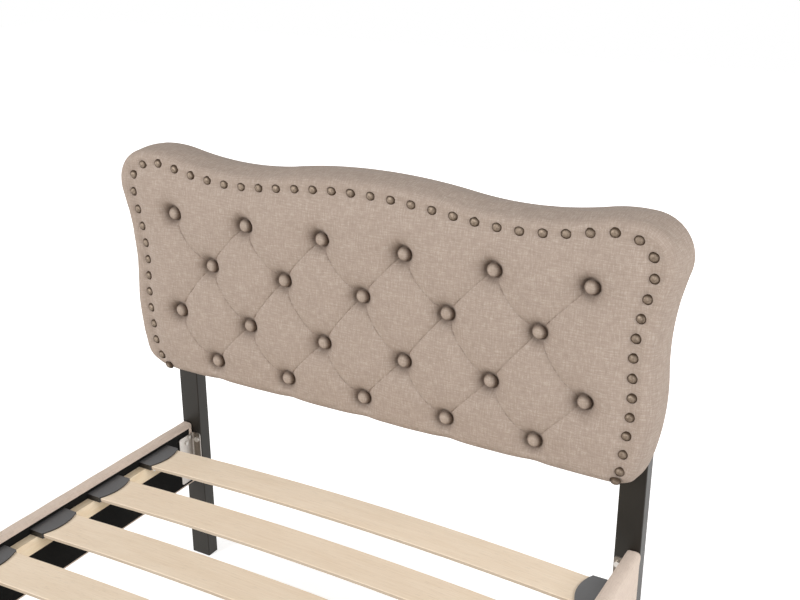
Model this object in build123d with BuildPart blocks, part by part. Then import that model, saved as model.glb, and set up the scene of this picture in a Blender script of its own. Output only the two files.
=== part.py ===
"""Upholstered twin bed: a tufted, nail-trimmed headboard bolted to two steel posts, padded side
rails with pine ledgers, thirteen sprung slats in plastic end caps, and a padded foot rail on two
short legs. Millimetres, X across the bed, +Y towards the head, +Z up. The origin lies on the
floor, under the middle of the whole bed."""

import math
import os

from build123d import *

os.makedirs("parts", exist_ok=True)

# The mattress that the bed is made for, and the room left around it
mattress_width = 990.0
mattress_length = 1905.0
mattress_side_gap = 3.4
mattress_end_gap = 9.0

# Clearances
soft_gap = 0.3
thread_gap = 0.1
cut_overrun = 5.0

# Side rails and foot rail: a board in a padded cover, lined on the inner face
rail_height = 144.0
rail_bottom = 191.4
board_thickness = 16.0
lining_thickness = 1.5
rail_face_pad = 8.8
rail_top_pad = 5.0
rail_bottom_pad = 3.0
rail_end_pad = 2.0
rail_top_round = 9.0
rail_bottom_round = 3.0
return_top = 8.4
return_bottom = 5.0
return_end = 12.0

# Steel tube of the posts and the foot legs, and its plastic ends
tube_width = 48.0
tube_depth = 30.5
tube_wall = 1.5
tube_corner = 2.0
tube_inset = 1.3
leg_top_drop = 12.0
plug_flange = 2.0
plug_length = 14.0
plug_wall = 2.5

# Headboard: outline, padding, panel and the battens behind it
headboard_overhang = 38.3
headboard_bottom = 502.0
headboard_height = 466.0
headboard_depth = 91.5
bottom_corner_round = 61.0
front_roll = 13.0
back_roll = 3.0
foam_thickness = 20.0
side_padding = 8.0
panel_thickness = 12.0
back_cover_thickness = 1.2
band_thickness = 3.0
batten_width = 44.0
batten_edge_gap = 5.0
upright_lift = 62.0
post_top_drop = 118.0

# Tufting buttons: four rows, six and five by turns
button_side_margin = 133.0
button_row_shares = (0.739, 0.537, 0.304, 0.105)
button_row_counts = (6, 5, 6, 5)
button_diameter = 29.0
button_height = 7.0
button_seat_depth = 11.0
pit_diameter = 66.0
pit_wall = 0.5
pit_bulge_radius_share = 0.35
pit_bulge_height_share = 0.68
crease_width = 9.0
crease_depth = 5.5
twine_diameter = 3.0
anchor_diameter = 20.0
anchor_thickness = 2.0

# Decorative nails along the top and sides
nail_head_diameter = 17.0
nail_head_height = 4.2
nail_seat_depth = 6.0
nail_pin_diameter = 2.4
nail_pin_length = 24.0
nail_pitch_top = 40.4
last_nail_gap = 19.7
nail_count_top = 13
nail_count_side = 12

# Headboard bolts with washers and threaded inserts
bolt_diameter = 8.0
bolt_head_diameter = 15.0
bolt_head_height = 4.0
bolt_socket_diameter = 5.8
bolt_socket_depth = 2.4
bolt_end_margin = 30.0
bolts_per_post = 3
washer_diameter = 20.0
washer_thickness = 1.5
bolt_hole_gap = 0.3
insert_diameter = 12.0
insert_length = 20.0

# Slats, their plastic end caps and the ledgers that carry them
slat_count = 13
slat_width = 81.0
slat_thickness = 7.5
slat_bow = 13.5
slat_edge_chamfer = 1.0
first_slat_inset = 129.0
last_slat_inset = 105.3
slat_end_gap = 0.5
slat_side_gap = 0.2
cap_floor = 1.2
cap_roof = 2.2
cap_back = 3.0
cap_side = 2.8
cap_corner_reach = 31.0
cap_nose_reach = 42.0
ledger_width = 17.5
ledger_height = 29.0
ledger_top_drop = 25.4
ledger_screw_count = 7
ledger_screw_end_margin = 60.0
screw_diameter = 4.5
screw_head_diameter = 8.6
screw_head_height = 2.6
screw_bite = 13.0

# Corner brackets between rails and posts, with their screws and bolts
bracket_thickness = 2.5
bracket_height = 112.0
bracket_rise = 11.6
bracket_rail_flange = 47.5
bracket_post_flange = 21.5
bracket_corner_round = 5.0
bracket_bend_radius = 3.0
bracket_screw_places = ((25.5, 16.5), (16.0, 6.0))
bracket_bolt_reach = 14.0
bracket_bolt_margin = 14.0
bracket_bolt_diameter = 6.0
bracket_bolt_head_diameter = 12.0
bracket_bolt_head_height = 3.6
rivet_nut_diameter = 9.0
rivet_nut_length = 12.0
foot_insert_diameter = 10.0
foot_insert_length = 12.0

# Places worked out from the sizes above
rail_thickness = lining_thickness + board_thickness + rail_face_pad
rail_inner_x = mattress_width / 2 + mattress_side_gap
rail_outer_x = rail_inner_x + rail_thickness
rail_middle_z = rail_bottom + rail_height / 2
rail_top = rail_bottom + rail_height
rail_length = headboard_depth + mattress_length + mattress_end_gap
bolt_proud = bolt_head_height + washer_thickness
overall_length = bolt_proud + tube_depth + rail_length + tube_depth + rail_thickness
post_back_y = overall_length / 2 - bolt_proud
post_front_y = post_back_y - tube_depth
foot_face_y = post_front_y - rail_length
foot_rail_y = foot_face_y - tube_depth
rail_middle_y = (post_front_y + foot_face_y) / 2
tube_x = rail_outer_x - tube_inset - tube_width / 2
leg_height = rail_top - leg_top_drop
post_height = headboard_bottom + headboard_height - post_top_drop

headboard_width = 2 * (rail_outer_x + headboard_overhang)
half_width = headboard_width / 2
panel_front = headboard_depth - foam_thickness
panel_back = panel_front - panel_thickness
button_pitch = (headboard_width - 2 * button_side_margin) / (max(button_row_counts) - 1)
button_rows = [headboard_bottom + share * headboard_height for share in button_row_shares]

ledger_top = rail_top - ledger_top_drop
slat_bottom = ledger_top + cap_floor
cap_height = cap_floor + slat_thickness + slat_side_gap + cap_roof
slat_pitch = (rail_length - first_slat_inset - last_slat_inset) / (slat_count - 1)
slat_places = [post_front_y - first_slat_inset - i * slat_pitch for i in range(slat_count)]
cap_outer_x = rail_inner_x - soft_gap
cap_half_width = slat_width / 2 + slat_side_gap + cap_side
slat_half_length = cap_outer_x - cap_back - slat_end_gap
arch_half_length = rail_inner_x - cap_nose_reach
bracket_bottom = rail_bottom + bracket_rise

# Half of the headboard's outline, from the middle of the top round to the flat bottom: where
# one arc runs on into the next, as shares of half its width and of its height
outline_shares = [
    (0.0, 1.0),
    (0.324, 0.970),
    (0.756, 0.984),
    (0.896, 0.993),
    (0.997, 0.816),
    (0.967, 0.407),
    (0.924, 0.0),
]
valley_share = 0.952

# Half of the line of nails, with the same shares
nail_line_shares = [
    (0.0, 0.946),
    (0.179, 0.936),
    (0.393, 0.909),
    (0.501, 0.901),
    (0.609, 0.907),
    (0.751, 0.933),
    (0.822, 0.947),
    (0.891, 0.934),
    (0.937, 0.879),
    (0.941, 0.805),
    (0.915, 0.660),
    (0.903, 0.511),
    (0.908, 0.328),
    (0.900, 0.213),
    (0.878, 0.075),
    (0.860, 0.036),
]


def save(part, name):
    """Label one finished sub-part and write it as its own STEP file."""
    part.label = name
    export_step(part, f"parts/{name}.step")


def place(share):
    """A point of the headboard's face, from its shares of half width and height."""
    return (share[0] * half_width, headboard_bottom + share[1] * headboard_height)


def headboard_plane(depth):
    """The upright plane that lies this deep in front of the posts, facing the foot end."""
    return Plane.XZ.offset(depth - post_front_y)


def headboard_outline(inset=0.0):
    """A flat face of the headboard's outline, drawn in by the inset."""
    with BuildSketch() as outline:
        with BuildLine() as border:
            for side in (-1, 1):
                joint = place(outline_shares[0])
                heading = (side, 0)
                for share in outline_shares[1:]:
                    x, z = place(share)
                    arc = TangentArc(joint, (side * x, z), tangent=heading)
                    joint = arc @ 1
                    heading = arc % 1
            Line(*border.vertices().group_by(Axis.Y)[0])
        make_face()
        fillet(outline.vertices().group_by(Axis.Y)[0], radius=bottom_corner_round)
        if inset > 0:
            offset(amount=-inset, kind=Kind.ARC, mode=Mode.REPLACE)
    return outline.sketch


def button_places():
    """The centres of all buttons on the headboard's face, row by row."""
    rows = []
    for height, count in zip(button_rows, button_row_counts):
        rows.append([((i - (count - 1) / 2) * button_pitch, height) for i in range(count)])
    return rows


def nail_places():
    """The centres of the nails on the flat of the headboard, both halves."""
    line = Spline(*[place(share) for share in nail_line_shares], tangents=[(1, 0), (-0.4, -1)])
    runs = [nail_pitch_top * (i + 0.5) for i in range(nail_count_top)]
    nail_pitch_side = (line.length - runs[-1] - last_nail_gap) / nail_count_side
    runs += [runs[-1] + nail_pitch_side * (i + 1) for i in range(nail_count_side)]
    points = [line.position_at(run, position_mode=PositionMode.LENGTH) for run in runs]
    return [(side * point.X, point.Y) for point in points for side in (-1, 1)]


buttons = button_places()
all_buttons = [spot for row in buttons for spot in row]
last_nail = place(nail_line_shares[-1])
corner_nails = [(side * last_nail[0], last_nail[1]) for side in (-1, 1)]
nails = nail_places()


# Headboard panel: shaped plywood with a hole for each button's twine and each nail's pin
def make_panel():
    with BuildPart() as panel:
        with BuildSketch(headboard_plane(panel_back)):
            add(headboard_outline(side_padding + soft_gap))
        extrude(amount=panel_thickness)
        with BuildSketch(headboard_plane(panel_back)):
            with Locations(*all_buttons):
                Circle(twine_diameter / 2 + bolt_hole_gap)
        extrude(amount=panel_thickness, mode=Mode.SUBTRACT)
        with BuildSketch(headboard_plane(panel_front)):
            with Locations(*nails, *corner_nails):
                Circle(nail_pin_diameter / 2 + thread_gap)
        extrude(amount=-panel_thickness, mode=Mode.SUBTRACT)
    save(panel.part, "headboard_panel")


# Battens: two uprights that take the post bolts, one batten across the top, one at the bottom
upright_bottom = headboard_bottom + upright_lift
batten_top = (
    headboard_bottom
    + valley_share * headboard_height
    - side_padding
    - band_thickness
    - batten_edge_gap
)
batten_bottom = headboard_bottom + side_padding + band_thickness + batten_edge_gap
cross_batten_half = tube_x - batten_width / 2
bolt_span = post_height - upright_bottom - 2 * bolt_end_margin
bolt_heights = [
    upright_bottom + bolt_end_margin + i * bolt_span / (bolts_per_post - 1)
    for i in range(bolts_per_post)
]


def make_uprights():
    for side, name in ((-1, "left"), (1, "right")):
        with BuildPart() as upright:
            with BuildSketch(headboard_plane(back_cover_thickness)):
                with Locations((side * tube_x, (upright_bottom + batten_top) / 2)):
                    Rectangle(batten_width, batten_top - upright_bottom)
            extrude(amount=panel_back - back_cover_thickness)
            with BuildSketch(headboard_plane(back_cover_thickness)):
                with Locations(*[(side * tube_x, height) for height in bolt_heights]):
                    Circle(insert_diameter / 2 + thread_gap)
            extrude(amount=insert_length, mode=Mode.SUBTRACT)
        save(upright.part, f"headboard_upright_{name}")


def make_cross_battens():
    for name, low in (("top", batten_top - batten_width), ("bottom", batten_bottom)):
        with BuildPart() as batten:
            with BuildSketch(headboard_plane(back_cover_thickness)):
                with Locations((0, low + batten_width / 2)):
                    Rectangle(2 * cross_batten_half, batten_width)
            extrude(amount=panel_back - back_cover_thickness)
            anchor_zone = anchor_diameter / 2 + bolt_hole_gap
            with BuildSketch(headboard_plane(panel_back)):
                with Locations(*all_buttons):
                    Circle(anchor_zone)
            extrude(amount=-anchor_thickness - bolt_hole_gap, mode=Mode.SUBTRACT)
        save(batten.part, f"headboard_{name}_batten")


# Edge band: a thin hardboard strip bent round behind the panel, which holds the sides in shape
def make_edge_band():
    with BuildPart() as band:
        with BuildSketch(headboard_plane(back_cover_thickness)):
            add(headboard_outline(side_padding + soft_gap))
        extrude(amount=panel_back - back_cover_thickness)
        with BuildSketch(headboard_plane(back_cover_thickness)):
            add(headboard_outline(side_padding + soft_gap + band_thickness))
        extrude(amount=panel_back - back_cover_thickness, mode=Mode.SUBTRACT)
    save(band.part, "headboard_edge_band")


# Back cover: a thin dust cover inside the rim of the upholstery, open at the bolts
def make_back_cover():
    with BuildPart() as cover:
        with BuildSketch(headboard_plane(0)):
            add(headboard_outline(side_padding + soft_gap))
        extrude(amount=back_cover_thickness)
        with BuildSketch(headboard_plane(0)):
            spots = [(side * tube_x, height) for side in (-1, 1) for height in bolt_heights]
            with Locations(*spots):
                Circle(bolt_diameter / 2 + bolt_hole_gap)
        extrude(amount=back_cover_thickness, mode=Mode.SUBTRACT)
    save(cover.part, "headboard_back_cover")


# Headboard pad: foam under linen, rolled over the front edge, with a pit at each button,
# a crease between neighbouring buttons and a shallow dimple at each nail
def turned(profile, arc=None):
    """A solid turned about the Z axis from a closed profile of radii and heights."""
    with BuildPart() as solid:
        with BuildSketch(Plane.XZ):
            with BuildLine():
                Polyline(*profile, close=arc is None)
                if arc:
                    ThreePointArc(*arc)
            make_face()
        revolve(axis=Axis.Z)
    return solid.part


def button_pit():
    """What one button takes out of the pad: its pit, and the twine's hole behind it."""
    pit_radius = pit_diameter / 2
    seat_radius = button_diameter / 2 + pit_wall
    hole_radius = twine_diameter / 2 + bolt_hole_gap
    bulge_radius = seat_radius + pit_bulge_radius_share * (pit_radius - seat_radius)
    bulge_height = -button_seat_depth * (1 - pit_bulge_height_share)
    profile = [
        (pit_radius, 0),
        (pit_radius, cut_overrun),
        (0, cut_overrun),
        (0, -foam_thickness - cut_overrun),
        (hole_radius, -foam_thickness - cut_overrun),
        (hole_radius, -button_seat_depth),
        (seat_radius, -button_seat_depth),
    ]
    return turned(profile, (profile[-1], (bulge_radius, bulge_height), profile[0]))


def nail_dimple():
    """What one nail takes out of the pad: its dimple, and the pin's hole behind it."""
    seat_radius = nail_head_diameter / 2 + pit_wall
    hole_radius = nail_pin_diameter / 2 + bolt_hole_gap
    profile = [
        (0, cut_overrun),
        (seat_radius, cut_overrun),
        (seat_radius, -nail_seat_depth),
        (hole_radius, -nail_seat_depth),
        (hole_radius, -foam_thickness - cut_overrun),
        (0, -foam_thickness - cut_overrun),
    ]
    return turned(profile)


def crease(start, end):
    """What one crease takes out of the pad, between two neighbouring buttons."""
    along = Vector(end[0] - start[0], 0, end[1] - start[1]).normalized()
    origin = (start[0], post_front_y - headboard_depth, start[1])
    with BuildPart() as groove:
        with BuildSketch(Plane(origin=origin, x_dir=(-along.Z, 0, along.X), z_dir=along)):
            with BuildLine():
                Polyline(
                    (-crease_width / 2, -cut_overrun),
                    (-crease_width / 2, 0),
                    (0, crease_depth),
                    (crease_width / 2, 0),
                    (crease_width / 2, -cut_overrun),
                    close=True,
                )
            make_face()
        extrude(amount=math.dist(start, end))
    return groove.part


def front_spots(places, depth):
    """A location for each of the places, this deep in front of the posts, facing outwards."""
    return [headboard_plane(depth) * Location((x, z, 0)) for x, z in places]


def free_round():
    """The front edge's rounding, limited by the room outside the nails and the buttons' pits."""
    border = headboard_outline().wires()[0]
    cuts = [(spot, nail_head_diameter / 2 + pit_wall) for spot in nails]
    cuts += [(spot, pit_diameter / 2) for spot in all_buttons]
    room = [border.distance_to(Vertex(*spot, 0)) - radius for spot, radius in cuts]
    return min(front_roll, min(room) - soft_gap)


def make_pad():
    creases = []
    for row, lower_row in zip(buttons, buttons[1:]):
        for start in row:
            neighbours = [end for end in lower_row if abs(end[0] - start[0]) < button_pitch]
            creases += [crease(start, end) for end in neighbours]
    with BuildPart() as pad:
        with BuildSketch(headboard_plane(0)):
            add(headboard_outline())
        extrude(amount=headboard_depth)
        with Locations(*front_spots(nails, headboard_depth)):
            add(nail_dimple(), mode=Mode.SUBTRACT)
        with Locations(*front_spots(all_buttons, headboard_depth)):
            add(button_pit(), mode=Mode.SUBTRACT)
        add(creases, mode=Mode.SUBTRACT)
        border = pad.faces().group_by(Axis.Y)[0].sort_by(SortBy.AREA)[-1]
        fillet(border.outer_wire().edges(), radius=free_round())
        fillet(pad.faces().sort_by(Axis.Y)[-1].outer_wire().edges(), radius=back_roll)
        with BuildSketch(headboard_plane(0)):
            add(headboard_outline(side_padding))
        extrude(amount=panel_front, mode=Mode.SUBTRACT)
        with Locations(*front_spots(corner_nails, headboard_depth)):
            add(nail_dimple(), mode=Mode.SUBTRACT)
    save(pad.part, "headboard_pad")


# Tufting buttons: a domed, fabric-covered button on a twine shank that runs back through the
# foam and the panel to an anchor disc behind it
def dome_middle(radius, height):
    """The point halfway out on a round dome, as its distance from the axis and its height."""
    ball_radius = (radius**2 + height**2) / (2 * height)
    return (radius / 2, height - ball_radius + math.sqrt(ball_radius**2 - radius**2 / 4))


def make_buttons():
    seat = headboard_depth - button_seat_depth + soft_gap
    shank = seat - panel_back + anchor_thickness
    radius = button_diameter / 2
    rim = button_height / 4
    middle = dome_middle(radius, button_height - rim)
    profile = [
        (0, button_height),
        (0, -shank),
        (twine_diameter / 2, -shank),
        (twine_diameter / 2, 0),
        (radius, 0),
        (radius, rim),
    ]
    button = turned(profile, (profile[-1], (middle[0], rim + middle[1]), profile[0]))
    with BuildPart() as button_group:
        with Locations(*front_spots(all_buttons, seat)):
            add(button)
    save(button_group.part, "tuft_buttons")
    with BuildPart() as anchors:
        with BuildSketch(headboard_plane(panel_back)):
            with Locations(*all_buttons):
                Circle(anchor_diameter / 2)
                Circle(twine_diameter / 2 + thread_gap, mode=Mode.SUBTRACT)
        extrude(amount=-anchor_thickness)
    save(anchors.part, "tuft_anchors")


# Decorative nails: a domed head on a pin that runs through the foam into the panel
def make_nails():
    seat = headboard_depth - nail_seat_depth + soft_gap
    radius = nail_head_diameter / 2
    profile = [
        (0, nail_head_height),
        (0, -nail_pin_length),
        (nail_pin_diameter / 2, -nail_pin_length + nail_pin_diameter),
        (nail_pin_diameter / 2, 0),
        (radius, 0),
    ]
    nail = turned(profile, (profile[-1], dome_middle(radius, nail_head_height), profile[0]))
    with BuildPart() as nail_group:
        with Locations(*front_spots(nails + corner_nails, seat)):
            add(nail)
    save(nail_group.part, "decor_nails")


# Posts and foot legs: rectangular steel tube, with the holes for their bolts
def draw_tube():
    """Draw the tube's section in the open sketch, with its hollow."""
    RectangleRounded(tube_width, tube_depth, tube_corner)
    Rectangle(tube_width - 2 * tube_wall, tube_depth - 2 * tube_wall, mode=Mode.SUBTRACT)


bracket_bolt_heights = [
    bracket_bottom + bracket_bolt_margin,
    bracket_bottom + bracket_height - bracket_bolt_margin,
]
bracket_bolt_x = rail_inner_x - bracket_bolt_reach
tubes = [
    ("post_left", -1, post_front_y + tube_depth / 2, post_height),
    ("post_right", 1, post_front_y + tube_depth / 2, post_height),
    ("foot_leg_left", -1, foot_face_y - tube_depth / 2, leg_height),
    ("foot_leg_right", 1, foot_face_y - tube_depth / 2, leg_height),
]


def make_tubes():
    for name, side, middle_y, top in tubes:
        with BuildPart() as tube:
            with BuildSketch(Plane((side * tube_x, middle_y, plug_flange))):
                draw_tube()
            extrude(amount=top - 2 * plug_flange)
            with BuildSketch(Plane.XZ.offset(-middle_y)):
                spots = [(side * bracket_bolt_x, height) for height in bracket_bolt_heights]
                with Locations(*spots):
                    Circle(bracket_bolt_diameter / 2 + thread_gap)
            is_post = top == post_height
            extrude(amount=tube_depth, both=not is_post, mode=Mode.SUBTRACT)
            if is_post:
                with BuildSketch(Plane.XZ.offset(-middle_y)):
                    with Locations(*[(side * tube_x, height) for height in bolt_heights]):
                        Circle(bolt_diameter / 2 + bolt_hole_gap)
                extrude(amount=tube_depth, both=True, mode=Mode.SUBTRACT)
        save(tube.part, name)


# Tube ends: a plastic plug in the top of each tube, and a glide of the same form in its foot
def make_plugs():
    plug_width = tube_width - 2 * tube_wall - 2 * soft_gap
    plug_depth = tube_depth - 2 * tube_wall - 2 * soft_gap
    for node, at_top in (("tube_top_caps", True), ("floor_glides", False)):
        inwards = -1 if at_top else 1
        with BuildPart() as plugs:
            for _, side, middle_y, top in tubes:
                seat = top - plug_flange if at_top else plug_flange
                with BuildSketch(Plane((side * tube_x, middle_y, seat))):
                    RectangleRounded(tube_width, tube_depth, tube_corner)
                extrude(amount=-inwards * plug_flange)
                with BuildSketch(Plane((side * tube_x, middle_y, seat))):
                    Rectangle(plug_width, plug_depth)
                    Rectangle(
                        plug_width - 2 * plug_wall,
                        plug_depth - 2 * plug_wall,
                        mode=Mode.SUBTRACT,
                    )
                extrude(amount=inwards * plug_length)
        save(plugs.part, node)


# Headboard bolts: socket-head bolts from behind, through the post into a threaded insert
def make_bolts():
    shank = washer_thickness + tube_depth + back_cover_thickness + insert_length
    spots = [(side * tube_x, height) for side in (-1, 1) for height in bolt_heights]
    back = -tube_depth
    with BuildPart() as bolts:
        with BuildSketch(headboard_plane(back - washer_thickness)):
            with Locations(*spots):
                Circle(bolt_head_diameter / 2)
        extrude(amount=-bolt_head_height)
        with BuildSketch(headboard_plane(back - washer_thickness)):
            with Locations(*spots):
                Circle(bolt_diameter / 2)
        extrude(amount=shank)
        with BuildSketch(headboard_plane(back - bolt_proud)):
            with Locations(*spots):
                RegularPolygon(bolt_socket_diameter / 2, side_count=6)
        extrude(amount=bolt_socket_depth, mode=Mode.SUBTRACT)
    save(bolts.part, "headboard_bolts")
    with BuildPart() as washers:
        with BuildSketch(headboard_plane(back)):
            with Locations(*spots):
                Circle(washer_diameter / 2)
                Circle(bolt_diameter / 2 + bolt_hole_gap, mode=Mode.SUBTRACT)
        extrude(amount=-washer_thickness)
    save(washers.part, "headboard_washers")
    with BuildPart() as inserts:
        with BuildSketch(headboard_plane(back_cover_thickness)):
            with Locations(*spots):
                Circle(insert_diameter / 2)
                Circle(bolt_diameter / 2 + thread_gap, mode=Mode.SUBTRACT)
        extrude(amount=insert_length)
    save(inserts.part, "headboard_inserts")


# Rails: each is drawn on the plane of its inner face, whose normal points into the bed
def rail_pieces(face, length, holes):
    """Board, padded cover and lining of one rail. Each hole is its place on the face,
    its radius and its depth."""
    start = face.origin - face.x_dir * (length / 2)
    end_plane = Plane(origin=start, x_dir=-face.z_dir, z_dir=face.x_dir)
    board_height = rail_height - rail_top_pad - rail_bottom_pad
    board_spot = (lining_thickness + board_thickness / 2, (rail_bottom_pad - rail_top_pad) / 2)
    board_length = length - 2 * rail_end_pad
    window = (length - 2 * return_end, rail_height - return_top - return_bottom)
    window_spot = (0, (return_bottom - return_top) / 2)
    with BuildPart() as board:
        with BuildSketch(end_plane.offset(rail_end_pad)):
            with Locations(board_spot):
                Rectangle(board_thickness, board_height)
        extrude(amount=board_length)
        for spot, radius, depth in holes:
            with BuildSketch(face):
                with Locations(spot):
                    Circle(radius)
            extrude(amount=-depth, mode=Mode.SUBTRACT)
    with BuildPart() as cover:
        with BuildSketch(end_plane) as section:
            with Locations((rail_thickness / 2, 0)):
                Rectangle(rail_thickness, rail_height)
            fillet(section.vertices().group_by(Axis.Y)[-1], radius=rail_top_round)
            fillet(section.vertices().group_by(Axis.Y)[0], radius=rail_bottom_round)
        extrude(amount=length)
        with BuildSketch(end_plane.offset(rail_end_pad)):
            with Locations(board_spot):
                Rectangle(board_thickness, board_height)
        extrude(amount=board_length, mode=Mode.SUBTRACT)
        with BuildSketch(face):
            with Locations(window_spot):
                Rectangle(*window)
        extrude(amount=-lining_thickness, mode=Mode.SUBTRACT)
    with BuildPart() as lining:
        with BuildSketch(face):
            with Locations(window_spot):
                Rectangle(*window)
        extrude(amount=-lining_thickness)
        for spot, radius, depth in holes:
            with BuildSketch(face):
                with Locations(spot):
                    Circle(radius)
            extrude(amount=-depth, mode=Mode.SUBTRACT)
    return board.part, cover.part, lining.part


def side_face(side):
    """The inner face of one side rail: its x runs along the rail, its y up."""
    origin = (side * rail_inner_x, rail_middle_y, rail_middle_z)
    return Plane(origin=origin, x_dir=(0, -side, 0), z_dir=(-side, 0, 0))


def face_spot(side, y, z):
    """A place on a side rail's inner face, from its place along the bed and its height."""
    return (-side * (y - rail_middle_y), z - rail_middle_z)


ledger_start_y = slat_places[0] + cap_half_width
ledger_end_y = slat_places[-1] - cap_half_width
ledger_length = ledger_start_y - ledger_end_y
ledger_middle_z = ledger_top - ledger_height / 2
ledger_screw_step = (ledger_length - 2 * ledger_screw_end_margin) / (ledger_screw_count - 1)
ledger_screw_ys = [
    ledger_start_y - ledger_screw_end_margin - i * ledger_screw_step
    for i in range(ledger_screw_count)
]
bracket_screw_spots = []
for corner_y, away in ((post_front_y, -1), (foot_face_y, 1)):
    for reach, margin in bracket_screw_places:
        for height in (bracket_bottom + margin, bracket_bottom + bracket_height - margin):
            bracket_screw_spots.append((corner_y + away * reach, height))
screw_hole_radius = screw_diameter / 2 + thread_gap
screw_depth = lining_thickness + screw_bite


def make_side_rails():
    for side, name in ((-1, "left"), (1, "right")):
        spots = [face_spot(side, y, ledger_middle_z) for y in ledger_screw_ys]
        spots += [face_spot(side, y, z) for y, z in bracket_screw_spots]
        holes = [(spot, screw_hole_radius, screw_depth) for spot in spots]
        board, cover, lining = rail_pieces(side_face(side), rail_length, holes)
        save(board, f"rail_board_{name}")
        save(cover, f"rail_cover_{name}")
        save(lining, f"rail_lining_{name}")


def make_foot_rail():
    face = Plane(origin=(0, foot_rail_y, rail_middle_z), x_dir=(-1, 0, 0), z_dir=(0, 1, 0))
    holes = []
    for side in (-1, 1):
        for height in bracket_bolt_heights:
            spot = (-side * bracket_bolt_x, height - rail_middle_z)
            radius = foot_insert_diameter / 2 + thread_gap
            holes.append((spot, radius, lining_thickness + foot_insert_length))
    board, cover, lining = rail_pieces(face, 2 * rail_outer_x, holes)
    save(board, "foot_rail_board")
    save(cover, "foot_rail_cover")
    save(lining, "foot_rail_lining")


# Ledgers: a pine strip screwed to each side rail, which carries the slat caps
def make_ledgers():
    for side, name in ((-1, "left"), (1, "right")):
        face = side_face(side)
        middle = face_spot(side, (ledger_start_y + ledger_end_y) / 2, ledger_middle_z)
        spots = [face_spot(side, y, ledger_middle_z) for y in ledger_screw_ys]
        with BuildPart() as ledger:
            with BuildSketch(face):
                with Locations(middle):
                    Rectangle(ledger_length, ledger_height)
            extrude(amount=ledger_width)
            with Locations(face.offset(ledger_width)):
                with Locations(*spots):
                    CounterSinkHole(screw_hole_radius, screw_head_diameter / 2, ledger_width)
        save(ledger.part, f"ledger_{name}")
        with BuildPart() as screws:
            with Locations(face.offset(ledger_width)):
                with Locations(*spots):
                    Cone(
                        screw_diameter / 2,
                        screw_head_diameter / 2 - thread_gap,
                        (screw_head_diameter - screw_diameter) / 2 - thread_gap,
                        align=(Align.CENTER, Align.CENTER, Align.MAX),
                    )
                    Cylinder(
                        screw_diameter / 2,
                        ledger_width + screw_depth,
                        align=(Align.CENTER, Align.CENTER, Align.MAX),
                    )
        save(screws.part, f"ledger_screws_{name}")


# Slats: bent wood, flat where the caps hold the ends and arched between them
def make_slats():
    top = slat_bottom + slat_thickness
    for number, y in enumerate(slat_places, start=1):
        with BuildPart() as slat:
            with BuildSketch(Plane.XZ.offset(-y - slat_width / 2)):
                with BuildLine():
                    for low, high in ((slat_bottom, slat_bottom + slat_bow), (top, top + slat_bow)):
                        Line((-slat_half_length, low), (-arch_half_length, low))
                        ThreePointArc(
                            (-arch_half_length, low), (0, high), (arch_half_length, low)
                        )
                        Line((arch_half_length, low), (slat_half_length, low))
                    for side in (-1, 1):
                        Line((side * slat_half_length, slat_bottom), (side * slat_half_length, top))
                make_face()
            extrude(amount=slat_width)
            long_edges = slat.edges().group_by(Axis.Y)
            chamfer(long_edges[0] + long_edges[-1], length=slat_edge_chamfer)
        save(slat.part, f"slat_{number:02d}")


# Slat caps: plastic pockets on the ledger, with a rounded nose over the slat
def slat_cap():
    """One cap for the right-hand rail, standing at the origin."""
    corner_x = rail_inner_x - cap_corner_reach
    nose_x = rail_inner_x - cap_nose_reach
    pocket_x = cap_outer_x - cap_back
    pocket_end_x = nose_x - cut_overrun
    with BuildPart() as cap:
        with BuildSketch():
            with BuildLine():
                Polyline(
                    (corner_x, cap_half_width),
                    (cap_outer_x, cap_half_width),
                    (cap_outer_x, -cap_half_width),
                    (corner_x, -cap_half_width),
                )
                ThreePointArc((corner_x, -cap_half_width), (nose_x, 0), (corner_x, cap_half_width))
            make_face()
        extrude(amount=cap_height)
        with BuildSketch(Plane.XY.offset(cap_floor)):
            with Locations(((pocket_x + pocket_end_x) / 2, 0)):
                Rectangle(pocket_x - pocket_end_x, slat_width + 2 * slat_side_gap)
        extrude(amount=slat_thickness + slat_side_gap, mode=Mode.SUBTRACT)
    return cap.part


def make_slat_caps():
    for turn, name in ((180, "left"), (0, "right")):
        with BuildPart() as caps:
            with Locations(*[Location((0, y, ledger_top), (0, 0, turn)) for y in slat_places]):
                add(slat_cap())
        save(caps.part, f"slat_caps_{name}")


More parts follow.
